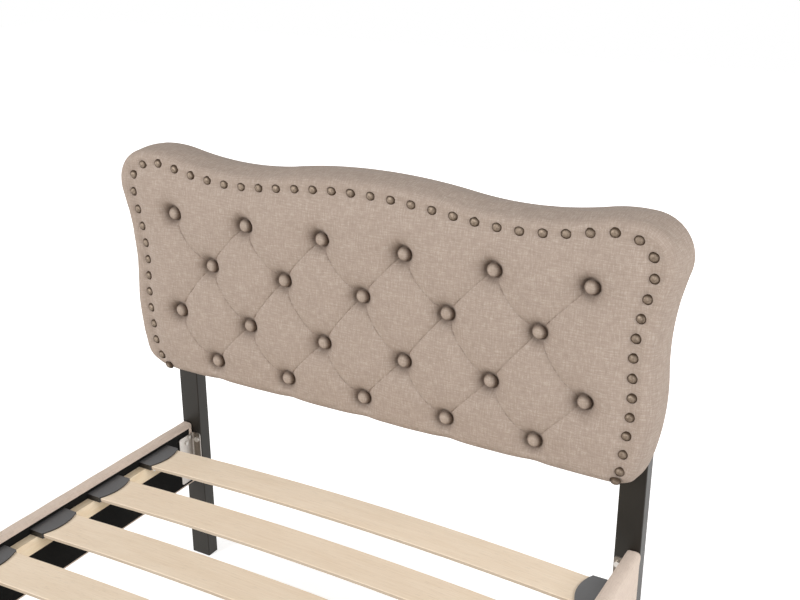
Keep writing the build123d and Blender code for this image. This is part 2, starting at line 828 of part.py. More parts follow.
# Corner brackets: bent steel, one flange on the rail's inner face and one on the tube
def make_brackets():
    corners = [
        ("head_bracket_left", -1, post_front_y, -1),
        ("head_bracket_right", 1, post_front_y, -1),
        ("foot_bracket_left", -1, foot_face_y, 1),
        ("foot_bracket_right", 1, foot_face_y, 1),
    ]
    for name, side, corner_y, away in corners:
        rail_x = side * rail_inner_x
        inner_x = side * (rail_inner_x - bracket_thickness)
        tip_x = side * (rail_inner_x - bracket_post_flange)
        inner_y = corner_y + away * bracket_thickness
        tip_y = corner_y + away * bracket_rail_flange
        with BuildPart() as bracket:
            with BuildSketch(Plane.XY.offset(bracket_bottom)) as section:
                with BuildLine():
                    Polyline(
                        (rail_x, corner_y),
                        (rail_x, tip_y),
                        (inner_x, tip_y),
                        (inner_x, inner_y),
                        (tip_x, inner_y),
                        (tip_x, corner_y),
                        close=True,
                    )
                make_face()
                bend = section.vertices().sort_by_distance((inner_x, inner_y, 0))[0]
                fillet(bend, radius=bracket_bend_radius)
            extrude(amount=bracket_height)
            corner_edges = bracket.edges().filter_by(
                lambda edge: edge.length < bracket_thickness + soft_gap
            )
            tips = corner_edges.filter_by(Axis.X).group_by(Axis.Y)[0 if away < 0 else -1]
            tips += corner_edges.filter_by(Axis.Y).group_by(Axis.X)[0 if side > 0 else -1]
            fillet(tips, radius=bracket_corner_round)
            with BuildSketch(Plane.YZ.offset(rail_x)):
                with Locations(*[spot for spot in bracket_screw_spots if spot[0] * away < 0]):
                    Circle(screw_hole_radius)
            extrude(amount=-side * bracket_thickness, mode=Mode.SUBTRACT)
            with BuildSketch(Plane.XZ.offset(-corner_y)):
                spots = [(side * bracket_bolt_x, height) for height in bracket_bolt_heights]
                with Locations(*spots):
                    Circle(bracket_bolt_diameter / 2 + thread_gap)
            extrude(amount=-away * bracket_thickness, mode=Mode.SUBTRACT)
        save(bracket.part, name)


# Bracket fasteners: pan-head screws into the rails, bolts into the posts with rivet nuts, and
# at the foot longer bolts that run through the leg into inserts in the foot rail
def make_bracket_fasteners():
    with BuildPart() as screws:
        for side in (-1, 1):
            face = Plane.YZ.offset(side * (rail_inner_x - bracket_thickness))
            with BuildSketch(face):
                with Locations(*bracket_screw_spots):
                    Circle(screw_head_diameter / 2)
            extrude(amount=-side * screw_head_height)
            with BuildSketch(face):
                with Locations(*bracket_screw_spots):
                    Circle(screw_diameter / 2)
            extrude(amount=side * (bracket_thickness + screw_depth))
    save(screws.part, "bracket_screws")
    spots = [(side * bracket_bolt_x, height) for side in (-1, 1) for height in bracket_bolt_heights]
    foot_shank = bracket_thickness + tube_depth + lining_thickness + foot_insert_length
    head_shank = bracket_thickness + tube_wall + rivet_nut_length
    for node, corner_y, away, shank in (
        ("head_bracket_bolts", post_front_y, -1, head_shank),
        ("foot_bolts", foot_face_y, 1, foot_shank),
    ):
        face = Plane.XZ.offset(-corner_y - away * bracket_thickness)
        with BuildPart() as bolts:
            with BuildSketch(face):
                with Locations(*spots):
                    Circle(bracket_bolt_head_diameter / 2)
            extrude(amount=-away * bracket_bolt_head_height)
            with BuildSketch(face):
                with Locations(*spots):
                    Circle(bracket_bolt_diameter / 2)
            extrude(amount=away * shank)
        save(bolts.part, node)
    with BuildPart() as rivet_nuts:
        with BuildSketch(Plane.XZ.offset(-post_front_y - tube_wall)):
            with Locations(*spots):
                Circle(rivet_nut_diameter / 2)
                Circle(bracket_bolt_diameter / 2 + thread_gap, mode=Mode.SUBTRACT)
        extrude(amount=-rivet_nut_length)
    save(rivet_nuts.part, "post_rivet_nuts")
    with BuildPart() as inserts:
        with BuildSketch(Plane.XZ.offset(-foot_rail_y + lining_thickness)):
            with Locations(*spots):
                Circle(foot_insert_diameter / 2)
                Circle(bracket_bolt_diameter / 2 + thread_gap, mode=Mode.SUBTRACT)
        extrude(amount=foot_insert_length)
    save(inserts.part, "foot_inserts")


make_panel()
make_uprights()
make_cross_battens()
make_edge_band()
make_back_cover()
make_pad()
make_buttons()
make_nails()
make_tubes()
make_plugs()
make_bolts()
make_side_rails()
make_foot_rail()
make_ledgers()
make_slats()
make_slat_caps()
make_brackets()
make_bracket_fasteners()
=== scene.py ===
import math

import bpy
import bmesh
import numpy as np
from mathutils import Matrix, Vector
from mathutils.geometry import delaunay_2d_cdt


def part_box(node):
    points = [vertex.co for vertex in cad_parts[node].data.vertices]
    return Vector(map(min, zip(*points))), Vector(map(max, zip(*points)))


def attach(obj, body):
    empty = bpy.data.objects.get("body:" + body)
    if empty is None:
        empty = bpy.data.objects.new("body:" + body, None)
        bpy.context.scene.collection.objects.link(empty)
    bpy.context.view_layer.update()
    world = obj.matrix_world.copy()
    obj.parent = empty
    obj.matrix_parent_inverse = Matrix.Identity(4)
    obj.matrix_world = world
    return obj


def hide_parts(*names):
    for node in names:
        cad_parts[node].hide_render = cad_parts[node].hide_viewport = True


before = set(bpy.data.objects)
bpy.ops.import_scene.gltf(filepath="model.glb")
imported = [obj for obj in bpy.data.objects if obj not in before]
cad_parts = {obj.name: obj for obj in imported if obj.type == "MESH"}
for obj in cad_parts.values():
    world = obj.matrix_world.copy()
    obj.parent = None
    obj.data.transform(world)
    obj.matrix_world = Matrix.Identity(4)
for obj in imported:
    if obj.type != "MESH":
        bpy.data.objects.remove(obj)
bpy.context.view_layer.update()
scene = bpy.context.scene
scene.view_settings.view_transform = "Standard"


# The viewpoint: over the foot end's right-hand side, looking down and across at the headboard.
# A normal lens, turned to the left and tipped down, for a picture of 800 by 600, whose size this
# script leaves unset.
def place_object(name, data):
    """A new object in the scene, at the world origin."""
    item = bpy.data.objects.new(name, data)
    scene.collection.objects.link(item)
    return item


camera_tip, camera_turn = 20.523, 29.716
camera_data = bpy.data.cameras.new("camera")
camera_data.lens = 49.38
camera_data.sensor_width = 36.0
camera = place_object("camera", camera_data)
camera.location = (0.980, -0.64925, 1.441)
camera.rotation_euler = (math.radians(90 - camera_tip), 0, math.radians(camera_turn))
scene.camera = camera


# The studio: a pale floor and three large soft lamps, the strongest in front and to the left.
# The lens and shiny surfaces see plain white round the bed. The floor keeps the bed's shadow, and
# is see-through from below.
def add_node(tree, kind, inputs=None, **settings):
    """One new node, with its properties set and its inputs given a value or a link."""
    node = tree.nodes.new(kind)
    for key, value in settings.items():
        setattr(node, key, value)
    for key, value in (inputs or {}).items():
        if isinstance(value, bpy.types.NodeSocket):
            tree.links.new(value, node.inputs[key])
        else:
            node.inputs[key].default_value = value
    return node


def fed_node(kind, inputs, **settings):
    """One new node, in the tree of the first link among its inputs."""
    links = [value for value in inputs.values() if isinstance(value, bpy.types.NodeSocket)]
    return add_node(links[0].id_data, kind, inputs, **settings)


def feed(socket, value):
    """Link a value to a socket."""
    value.id_data.links.new(value, socket)


def maths(operation, first, second=0.0):
    """One sum on two values."""
    return fed_node("ShaderNodeMath", {0: first, 1: second}, operation=operation).outputs[0]


def span(value, low, high, start=0.0, end=1.0):
    """The value, carried from the range low to high over to start to end, and held there."""
    return fed_node("ShaderNodeMapRange", {
        "Value": value, "From Min": low, "From Max": high,
        "To Min": start, "To Max": end}).outputs[0]


def object_place(tree):
    """The place on the object, in metres."""
    return add_node(tree, "ShaderNodeTexCoord").outputs["Object"]


def seen_directly(tree):
    """A mask that is 1 where the lens, a reflection or a view through glass looks."""
    looks = add_node(tree, "ShaderNodeLightPath").outputs
    open_air = maths("MAXIMUM", looks["Is Camera Ray"], looks["Is Glossy Ray"])
    return maths("MAXIMUM", open_air, looks["Is Transmission Ray"])


world = bpy.data.worlds.new("studio_air")
scene.world = world
world.use_nodes = True
world.node_tree.nodes.clear()
room_light = add_node(world.node_tree, "ShaderNodeBackground", {
    "Color": (1.0, 0.97, 0.94, 1), "Strength": 0.36})
white_air = add_node(world.node_tree, "ShaderNodeBackground", {
    "Color": (1, 1, 1, 1), "Strength": 1.0})
air = fed_node("ShaderNodeMixShader", {
    0: seen_directly(world.node_tree), 1: room_light.outputs[0], 2: white_air.outputs[0]})
fed_node("ShaderNodeOutputWorld", {"Surface": air.outputs[0]})

floor_half = 9.0
floor_mesh = bpy.data.meshes.new("studio_floor")
floor_mesh.from_pydata(
    [(x * floor_half, y * floor_half, 0) for x, y in ((-1, -1), (1, -1), (1, 1), (-1, 1))],
    [], [(0, 1, 2, 3)])
floor = place_object("studio_floor", floor_mesh)
floor_paint = bpy.data.materials.new("studio_floor")
floor_paint.use_nodes = True
paint_tree = floor_paint.node_tree
paint_tree.nodes.clear()
floor_matte = add_node(paint_tree, "ShaderNodeBsdfDiffuse", {"Color": (0.80, 0.80, 0.80, 1)})
from_bed = fed_node("ShaderNodeVectorMath", {0: object_place(paint_tree)},
                    operation="LENGTH").outputs["Value"]
far_glow = span(from_bed, 1.0, 2.6, 0.60, 1.0)
glow_strength = maths("MULTIPLY", seen_directly(paint_tree), far_glow)
floor_glow = fed_node("ShaderNodeEmission", {"Color": (1, 1, 1, 1), "Strength": glow_strength})
floor_mix = fed_node("ShaderNodeAddShader", {0: floor_matte.outputs[0], 1: floor_glow.outputs[0]})
from_below = add_node(paint_tree, "ShaderNodeNewGeometry").outputs["Backfacing"]
floor_below = add_node(paint_tree, "ShaderNodeBsdfTransparent")
floor_sides = fed_node("ShaderNodeMixShader", {
    0: from_below, 1: floor_mix.outputs[0], 2: floor_below.outputs[0]})
fed_node("ShaderNodeOutputMaterial", {"Surface": floor_sides.outputs[0]})
floor_mesh.materials.append(floor_paint)

for name, place, aim, size, power in (
        ("lamp_front_left", (-5.0, -7.7, 4.6), (0, 0.7, 0.6), 3.8, 820),
        ("lamp_right", (4.2, 0.3, 2.0), (0.2, 0.5, 0.5), 2.2, 118),
        ("lamp_back", (-1.2, 4.6, 2.6), (0, 0.6, 0.6), 2.6, 20)):
    lamp_data = bpy.data.lights.new(name, "AREA")
    lamp_data.size = size
    lamp_data.energy = power
    lamp = place_object(name, lamp_data)
    lamp.location = place
    lamp.rotation_euler = (Vector(aim) - Vector(place)).to_track_quat("-Z", "Y").to_euler()


# Posts and foot legs: square-cornered steel tube, powder coated in a dark warm grey.
# The coat is satin, with a fine orange-peel texture.
def srgb(red, green, blue):
    """A colour given as it looks on screen, 0 to 255, as the linear one that shaders take."""
    values = [channel / 255 for channel in (red, green, blue)]
    return tuple(v / 12.92 if v <= 0.04045 else ((v + 0.055) / 1.055) ** 2.4 for v in values) + (1,)


def shader_group(name, **values):
    """A shader group that takes a vector and named values, and puts out what a surface needs."""
    tree = bpy.data.node_groups.new(name, "ShaderNodeTree")
    tree.interface.new_socket("Vector", in_out="INPUT", socket_type="NodeSocketVector")
    for key, value in values.items():
        kind = "NodeSocketColor" if isinstance(value, tuple) else "NodeSocketFloat"
        socket = tree.interface.new_socket(key.replace("_", " "), in_out="INPUT", socket_type=kind)
        socket.default_value = value
    for label, kind in (("Color", "Color"), ("Roughness", "Float"), ("Height", "Float")):
        tree.interface.new_socket(label, in_out="OUTPUT", socket_type="NodeSocket" + kind)
    return tree, tree.nodes.new("NodeGroupInput").outputs, tree.nodes.new("NodeGroupOutput").inputs


def noise(vector, scale, detail=2.0, roughness=0.5):
    """The value of a noise texture."""
    return fed_node("ShaderNodeTexNoise", {
        "Vector": vector, "Scale": scale, "Detail": detail, "Roughness": roughness}).outputs["Fac"]


def stretch(vector, scale):
    """The vector with each axis scaled by its own number."""
    return fed_node("ShaderNodeMapping", {"Vector": vector, "Scale": scale}).outputs[0]


def mixed(factor, first, second, blend="MIX"):
    """Two colours mixed by the factor."""
    return fed_node("ShaderNodeMix", {0: factor, 6: first, 7: second},
                    data_type="RGBA", blend_type=blend).outputs[2]


def weighted(first, first_share, second, second_share):
    """The sum of two values, each times its own share."""
    return maths("ADD", maths("MULTIPLY", first, first_share),
                 maths("MULTIPLY", second, second_share))


def new_material(name, **constants):
    """A material with a Principled shader, its constant sockets set by name."""
    material = bpy.data.materials.new(name)
    material.use_nodes = True
    tree = material.node_tree
    tree.nodes.clear()
    shader = tree.nodes.new("ShaderNodeBsdfPrincipled")
    fed_node("ShaderNodeOutputMaterial", {"Surface": shader.outputs[0]})
    for key, value in constants.items():
        shader.inputs[key.replace("_", " ")].default_value = value
    return material, tree, shader


def use_group(group, vector, **values):
    """One shader group placed in a material, fed with a vector and its own values."""
    named = {key.replace("_", " "): value for key, value in values.items()}
    return fed_node("ShaderNodeGroup", {"Vector": vector, **named}, node_tree=group).outputs


def surface(shader, colour, roughness, height, distance):
    """The shader's colour, roughness and bump, from the material's own nodes."""
    feed(shader.inputs["Base Color"], colour)
    if roughness is not None:
        feed(shader.inputs["Roughness"], roughness)
    bump = fed_node("ShaderNodeBump", {"Height": height, "Distance": distance, "Strength": 1.0})
    feed(shader.inputs["Normal"], bump.outputs[0])


def facing_share(tree, axis, low, high):
    """A mask of where the surface faces along an axis of the object."""
    turned = add_node(tree, "ShaderNodeTexCoord").outputs["Normal"]
    along_axis = fed_node("ShaderNodeSeparateXYZ", {0: turned}).outputs[axis]
    return span(maths("ABSOLUTE", along_axis), low, high)


# A coat of paint or a moulded skin: colour and gloss drift a little, and fine grains raise it
coat_group, coat_in, coat_out = shader_group(
    "even_coat", Coat=(0.5, 0.5, 0.5, 1), Grain_Size=0.001, Roughness=0.5, Drift=0.1)
grain_scale = maths("DIVIDE", 1.0, coat_in["Grain Size"])
fine_grain = noise(coat_in["Vector"], grain_scale, 2.0)
broad_drift = noise(coat_in["Vector"], 9.0, 3.0)
coat_mask = weighted(fine_grain, 0.4, broad_drift, 0.6)
coat_shift = maths("MULTIPLY", maths("SUBTRACT", coat_mask, 0.5),
                   maths("MULTIPLY", coat_in["Drift"], 6.0))
coat_tone = fed_node("ShaderNodeVectorMath", {
    0: coat_in["Coat"], "Scale": maths("ADD", coat_shift, 1.0)}, operation="SCALE")
feed(coat_out["Color"], coat_tone.outputs[0])
rough_shift = span(broad_drift, 0.3, 0.7, -0.06, 0.06)
feed(coat_out["Roughness"], maths("ADD", coat_in["Roughness"], rough_shift))
feed(coat_out["Height"], fine_grain)


def coated(name, colour, grain_size, roughness, bump, drift=0.05, shaded_sides=None, **constants):
    """A material of paint or moulded plastic, with its upright sides, when given, painted darker as
    painted shade.
    """
    material, tree, shader = new_material(name, **constants)
    out = use_group(coat_group, object_place(tree), Coat=colour, Grain_Size=grain_size,
                    Roughness=roughness, Drift=drift)
    skin = out["Color"]
    if shaded_sides:
        skin = mixed(facing_share(tree, 2, 0.35, 0.75), shaded_sides, skin)
    surface(shader, skin, out["Roughness"], out["Height"], bump)
    return material


def finish_nodes(material, *names):
    """Give CAD nodes their finish."""
    for name in names:
        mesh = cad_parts[name].data
        if not mesh.materials:
            mesh.materials.append(material)
        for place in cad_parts[name].material_slots:
            place.material = material


tube_coat = coated("tube_coat", srgb(25, 23, 20), 0.0012, 0.42, 0.00003, drift=0.03,
                   Specular_IOR_Level=0.38, Specular_Tint=(1.0, 0.95, 0.88, 1.0))
finish_nodes(tube_coat, "post_left", "post_right", "foot_leg_left", "foot_leg_right")


# Tube ends: moulded black caps pushed into the tops, and glides of the same form in the feet.
# The plastic is dull, with a faint moulded grain.
end_plastic = coated("end_plastic", srgb(26, 26, 26), 0.0008, 0.55, 0.00002)
finish_nodes(end_plastic, "tube_top_caps", "floor_glides")


# Headboard core: a plywood panel on pine battens with a bent hardboard edge, all inside the
# upholstery, and the anchor discs that hold the buttons' twine behind the panel.
wood_group, wood_in, wood_out = shader_group(
    "wood_grain", Pale=(0.7, 0.6, 0.5, 1), Dark=(0.5, 0.4, 0.3, 1), Ring_Scale=60.0,
    Ring_Share=0.5)
wood_warp = fed_node("ShaderNodeTexNoise", {
    "Vector": stretch(wood_in["Vector"], (1.0, 9.0, 9.0)), "Scale": 1.0, "Detail": 2.0})
warped = fed_node("ShaderNodeVectorMath", {
    0: wood_warp.outputs["Color"], 1: (0.0, 0.05, 0.05), 2: wood_in["Vector"]},
    operation="MULTIPLY_ADD")
ring_place = stretch(warped.outputs[0], (0.25, 1.0, 1.0))
wood_rings = noise(ring_place, wood_in["Ring Scale"], 3.0, 0.55)
fibres = noise(stretch(wood_in["Vector"], (6.0, 420.0, 420.0)), 1.0, 3.0)
pores = noise(stretch(wood_in["Vector"], (45.0, 900.0, 900.0)), 1.0, 2.0)
fibre_share = maths("SUBTRACT", 1.0, wood_in["Ring Share"])
wood_mask = weighted(span(wood_rings, 0.35, 0.68), wood_in["Ring Share"],
                     span(fibres, 0.3, 0.7), fibre_share)
wood_colour = mixed(wood_mask, wood_in["Dark"], wood_in["Pale"])
pore_mask = span(pores, 0.28, 0.40, 0.86, 1.0)
feed(wood_out["Color"], mixed(1.0, wood_colour, pore_mask, "MULTIPLY"))
feed(wood_out["Roughness"], span(fibres, 0.3, 0.7, 0.62, 0.5))
feed(wood_out["Height"], maths("ADD", fibres, pores))


def wooden(name, pale, dark, turn=(0, 0, 0), ring_scale=60.0, ring_share=0.5, edge_shade=None):
    """A material of planed wood. The grain runs along X before the turn."""
    material, tree, shader = new_material(name, Specular_IOR_Level=0.35)
    turned = fed_node("ShaderNodeMapping", {
        "Vector": object_place(tree), "Rotation": turn}).outputs[0]
    out = use_group(wood_group, turned, Pale=pale, Dark=dark, Ring_Scale=ring_scale,
                    Ring_Share=ring_share)
    wood = out["Color"]
    # Where an edge shade is given, the upright faces are darkened by it: in part painted shade.
    if edge_shade:
        shaded = mixed(1.0, wood, edge_shade, "MULTIPLY")
        wood = mixed(facing_share(tree, 2, 0.35, 0.75), shaded, wood)
    surface(shader, wood, out["Roughness"], out["Height"], 0.00006)
    return material


along_bed = (0, 0, math.pi / 2)
upright = (0, math.pi / 2, 0)
panel_ply = wooden("panel_ply", srgb(214, 188, 148), srgb(186, 156, 114))
finish_nodes(panel_ply, "headboard_panel")
pine_tones = (srgb(234, 211, 172), srgb(212, 178, 128))
pine_across = wooden("pine_across", *pine_tones, ring_scale=90.0)
finish_nodes(pine_across, "headboard_top_batten", "headboard_bottom_batten", "foot_rail_board")
pine_upright = wooden("pine_upright", *pine_tones, upright, 90.0)
finish_nodes(pine_upright, "headboard_upright_left", "headboard_upright_right")
edge_hardboard = wooden("edge_hardboard", srgb(128, 96, 66), srgb(104, 76, 50), ring_share=0.2)
finish_nodes(edge_hardboard, "headboard_edge_band")
anchor_plastic = coated("anchor_plastic", srgb(30, 30, 32), 0.001, 0.5, 0.00002)
finish_nodes(anchor_plastic, "tuft_anchors")


# Dust covers: black spun-bonded cloth over the back of the headboard and the rails' inner faces.
# It is thin and dull, with a faint grid of bonding points and loose fibres.
lining_cloth, lining_tree, lining_shader = new_material(
    "lining_cloth", Roughness=0.95, Specular_IOR_Level=0.2)
bond_points = fed_node("ShaderNodeTexVoronoi", {
    "Vector": object_place(lining_tree), "Scale": 620.0, "Randomness": 0.25}).outputs["Distance"]
fibre_haze = noise(object_place(lining_tree), 900.0, 4.0, 0.7)
lining_mask = maths("MULTIPLY", span(bond_points, 0.1, 0.5), span(fibre_haze, 0.35, 0.65))
surface(lining_shader,
        mixed(lining_mask, srgb(9, 9, 8), srgb(20, 20, 19)),
        None, lining_mask, 0.00015)
finish_nodes(lining_cloth, "headboard_back_cover", "rail_lining_left", "rail_lining_right",
             "foot_rail_lining")


# Headboard cover: linen over foam, drawn into diamonds by the buttons, nailed along its top and
# sides, rolled over the edge and folded in behind. The thread that shows is the linen's own.
linen_group, linen_in, linen_out = shader_group(
    "linen_weave", Base=(0.5, 0.4, 0.35, 1), Thread_Pitch=0.0009, Contrast=1.0)
pitch_scale = maths("DIVIDE", 1.0, linen_in["Thread Pitch"])
in_threads = fed_node("ShaderNodeVectorMath", {
    0: linen_in["Vector"], "Scale": pitch_scale}, operation="SCALE").outputs[0]


def thread_noise(across, up, low, high, detail=1.0, roughness=0.5):
    """A mask of noise in the linen's threads, by its steps per thread across and up."""
    drawn_out = stretch(in_threads, (across, up, 1.0))
    return span(noise(drawn_out, 1.0, detail, roughness), low, high)


thread_waves = []
for direction in ("X", "Y"):
    wave = fed_node("ShaderNodeTexWave", {
        "Vector": in_threads, "Scale": 0.314, "Distortion": 1.6, "Detail": 2.0,
        "Detail Scale": 0.6}, wave_type="BANDS", bands_direction=direction)
    thread_waves.append(wave.outputs["Fac"])
slubs = maths("ADD", thread_noise(0.55, 0.070, 0.30, 0.70, 2.0, 0.6),
              thread_noise(0.070, 0.60, 0.30, 0.70, 2.0, 0.6))
slub_mask = maths("MULTIPLY", slubs, 0.5)
streaks = maths("ADD", thread_noise(0.34, 0.045, 0.35, 0.65), thread_noise(0.040, 0.34, 0.35, 0.65))
streak_mask = maths("MULTIPLY", streaks, 0.5)
crossing_mask = thread_noise(0.62, 0.62, 0.30, 0.70)
patch_mask = span(noise(linen_in["Vector"], 34.0, 2.0), 0.3, 0.7)
tone = maths("ADD", weighted(slub_mask, 0.40, crossing_mask, 0.18),
             weighted(streak_mask, 0.32, patch_mask, 0.06))
tone_shift = maths("MULTIPLY", maths("SUBTRACT", tone, 0.5), linen_in["Contrast"])
pale_share = maths("MAXIMUM", tone_shift, 0.0)
dark_share = maths("MAXIMUM", maths("MULTIPLY", tone_shift, -1.0), 0.0)
paler = mixed(pale_share, linen_in["Base"], (0.93, 0.86, 0.78, 1))
feed(linen_out["Color"], mixed(dark_share, paler, (0.10, 0.075, 0.055, 1)))
feed(linen_out["Roughness"], span(slub_mask, 0.0, 1.0, 0.95, 0.82))
weave_height = maths("MULTIPLY", maths("ADD", *thread_waves), 0.3)
feed(linen_out["Height"], maths("ADD", weave_height, slub_mask))


def linen(name, colour, contrast=0.72, painted_shade=None):
    """A material of linen, its weave laid by the piece's own UV map, in metres."""
    material, tree, shader = new_material(
        name, Sheen_Weight=0.06, Sheen_Roughness=0.4, Specular_IOR_Level=0.1)
    place = add_node(tree, "ShaderNodeUVMap", uv_map="weave").outputs[0]
    out = use_group(linen_group, place, Base=colour, Contrast=contrast)
    cloth = out["Color"]
    # Where a mask is given, the linen is darkened towards a dark brown there: painted shade.
    if painted_shade:
        cloth = mixed(painted_shade(tree), cloth, srgb(96, 80, 68))
    surface(shader, cloth, out["Roughness"], out["Height"], 0.00022)
    return material


def mesh_points(mesh):
    """All points of a mesh, as rows of three."""
    points = np.zeros(len(mesh.vertices) * 3)
    mesh.vertices.foreach_get("co", points)
    return points.reshape(-1, 3)


def dome_spots(node):
    """Where each dome of a node stands, from the points that come out furthest."""
    points = mesh_points(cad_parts[node].data)
    tips = points[points[:, 1] < points[:, 1].min() + 1e-4]
    return np.unique(np.round(tips[:, [0, 2]], 5), axis=0)


def arc_through(start, heading, end, steps=80):
    """Points of the arc that leaves start along the heading and ends at end."""
    chord = end - start
    turn = 2 * ((math.atan2(chord[1], chord[0]) - heading + math.pi) % (2 * math.pi) - math.pi)
    radius = math.hypot(*chord) / (2 * math.sin(turn / 2))
    angles = heading + turn * np.linspace(0, 1, steps)
    centre = start + radius * np.array([-math.sin(heading), math.cos(heading)])
    points = centre + radius * np.c_[np.sin(angles), -np.cos(angles)]
    return points, heading + turn, centre, abs(radius)


def half_outline(corner_round):
    """Half of the headboard's outline, from the middle of the top to the bottom."""
    joints = np.array([(0, 968), (182.4, 954.0), (425.6, 960.5), (504.4, 964.7), (566.2, 871.5),
                       (546.4, 693.6), (520.4, 502)]) / 1000
    bottom = joints[-1][1]
    heading, runs = 0.0, []
    for start, end in zip(joints, joints[1:]):
        points, heading, centre, radius = arc_through(start, heading, end)
        runs.append(points[:-1])
    corner_z = bottom + corner_round
    corner_x = centre[0] + math.sqrt((radius - corner_round) ** 2 - (corner_z - centre[1]) ** 2)
    first = math.atan2(corner_z - centre[1], corner_x - centre[0])
    angles = np.linspace(first, -math.pi / 2, 60)
    corner = (corner_x, corner_z) + corner_round * np.c_[np.cos(angles), np.sin(angles)]
    runs[-1] = runs[-1][runs[-1][:, 1] > corner[0][1]]
    return np.vstack(runs + [corner])


def run_along(line):
    """How far along a line of points each of them is."""
    return np.r_[0, np.cumsum(np.hypot(*np.diff(line, axis=0).T))]


border_count = 620
right_corner, left_corner = 0.036, 0.061
border = np.vstack([half_outline(right_corner), (half_outline(left_corner) * (-1, 1))[::-1]])
steps = run_along(border)
border_runs = np.linspace(0, steps[-1], border_count, endpoint=False)
border = np.c_[np.interp(border_runs, steps, border[:, 0]),
               np.interp(border_runs, steps, border[:, 1])]
along = np.roll(border, -1, axis=0) - np.roll(border, 1, axis=0)
along /= np.hypot(*along.T)[:, None]
outwards = np.c_[-along[:, 1], along[:, 0]]

button_spots = dome_spots("tuft_buttons")
row_share, top_right_share, side_top, middle_z = 0.995, 1.006, 0.87, 0.70
lowest_shift, next_shift, side_shift = 0.0125, 0.0070, (0.0014, -0.0013)
nail_spots = dome_spots("decor_nails") * (row_share, 1.0)
on_right = nail_spots[:, 0] > 0
levels = np.unique(np.round(nail_spots[:, 1], 4))
lowest = nail_spots[:, 1] < levels[0] + 0.002
nail_spots[lowest, 0] += lowest_shift
nail_spots[~lowest & (nail_spots[:, 1] < levels[1] + 0.002) & on_right, 0] += next_shift
nail_spots[(nail_spots[:, 1] < side_top) & ~lowest] += side_shift
nail_spots[(nail_spots[:, 1] > side_top) & on_right, 0] *= top_right_share
nail_order = np.argsort(np.arctan2(nail_spots[:, 0], nail_spots[:, 1] - middle_z))
nail_line = nail_spots[nail_order]
button_pitch, right_bow, left_bow = 0.172, 0.0078, 0.0018
least_drop, most_drop = 0.05, 0.15
crease_lines = []
for top in button_spots:
    for end in button_spots:
        run = end - top
        if least_drop < -run[1] < most_drop and abs(run[0]) < button_pitch * 0.8:
            bow = right_bow if run[0] > 0 else left_bow
            lean = np.array([run[1], -run[0]]) / np.hypot(*run)
            share = np.linspace(0, 1, 17)[:, None]
            crease_lines.append(top + share * run + lean * bow * np.sin(math.pi * share))
side_fold = np.array([(0, 0), (0.03, -0.004), (0.07, -0.007)])
top_fold = np.array([(0, 0), (-0.006, 0.02), (-0.014, 0.046)])
edge_folds, in_line = [], 0.01
outer_x, top_z = button_spots.max(axis=0)
for spot in button_spots:
    if abs(abs(spot[0]) - outer_x) < in_line:
        edge_folds.append(spot + side_fold * (math.copysign(1, spot[0]), 1))
    if spot[1] > top_z - in_line:
        edge_folds.append(spot + top_fold)
drawn_lines = crease_lines + edge_folds


def gap_to(points, line):
    """How far each point is from a line of points, and on which side of it."""
    nearest, side = np.full(len(points), 9.0), np.zeros(len(points))
    for start, end in zip(line, line[1:]):
        run = end - start
        share = np.clip(((points - start) @ run) / (run @ run), 0, 1)
        gap = points - start - share[:, None] * run
        distance = np.hypot(gap[:, 0], gap[:, 1])
        closer = distance < nearest
        nearest[closer] = distance[closer]
        side[closer] = np.sign(run[0] * gap[closer, 1] - run[1] * gap[closer, 0])
    return nearest, side


def away_from(points, spot):
    """How far each point is from one spot."""
    return np.hypot(*(points - spot).T)


def nearest_spot(points, spots):
    """How far each point is from the nearest of some spots."""
    return np.min([away_from(points, spot) for spot in spots], axis=0)


def nearest_line(points, lines):
    """How far each point is from the nearest of some lines of points."""
    return np.min([gap_to(points, line)[0] for line in lines], axis=0)


def eased(value):
    """A value from 0 to 1, eased at both ends."""
    value = np.clip(value, 0, 1)
    return value * value * (3 - 2 * value)


def bell(gap, width):
    """1 where there is no gap, falling off like a bell of this width."""
    return np.exp(-((gap / width) ** 2))


puff_height, rim_height, diamond_swell, wave_height = 0.0128, 0.0078, 0.0030, 0.0004
nail_row_dip, nail_row_sag, nail_dent, lower_nails = 0.0022, 0.0016, 0.0018, 0.53
crease_depth, crease_pull, crease_sag, crease_lap = 0.0020, 0.0062, 0.0020, 0.0005
fold_depth = 0.0030
button_radius, button_pit, pleat_radius, pleat_height = 0.0145, 0.0068, 0.021, 0.0007
puff_start, puff_reach, swell_start, swell_reach, swell_width = 0.024, 0.050, 0.05, 0.06, 0.030
row_width, sag_width, dent_width, pit_width, pleat_width = 0.009, 0.020, 0.013, 0.0082, 0.0065
crease_width, crease_ends, crease_sag_width, lap_width = 0.0028, 0.014, 0.014, 0.005
fold_width = 0.0035
closed_border = np.vstack([border, border[:1]])


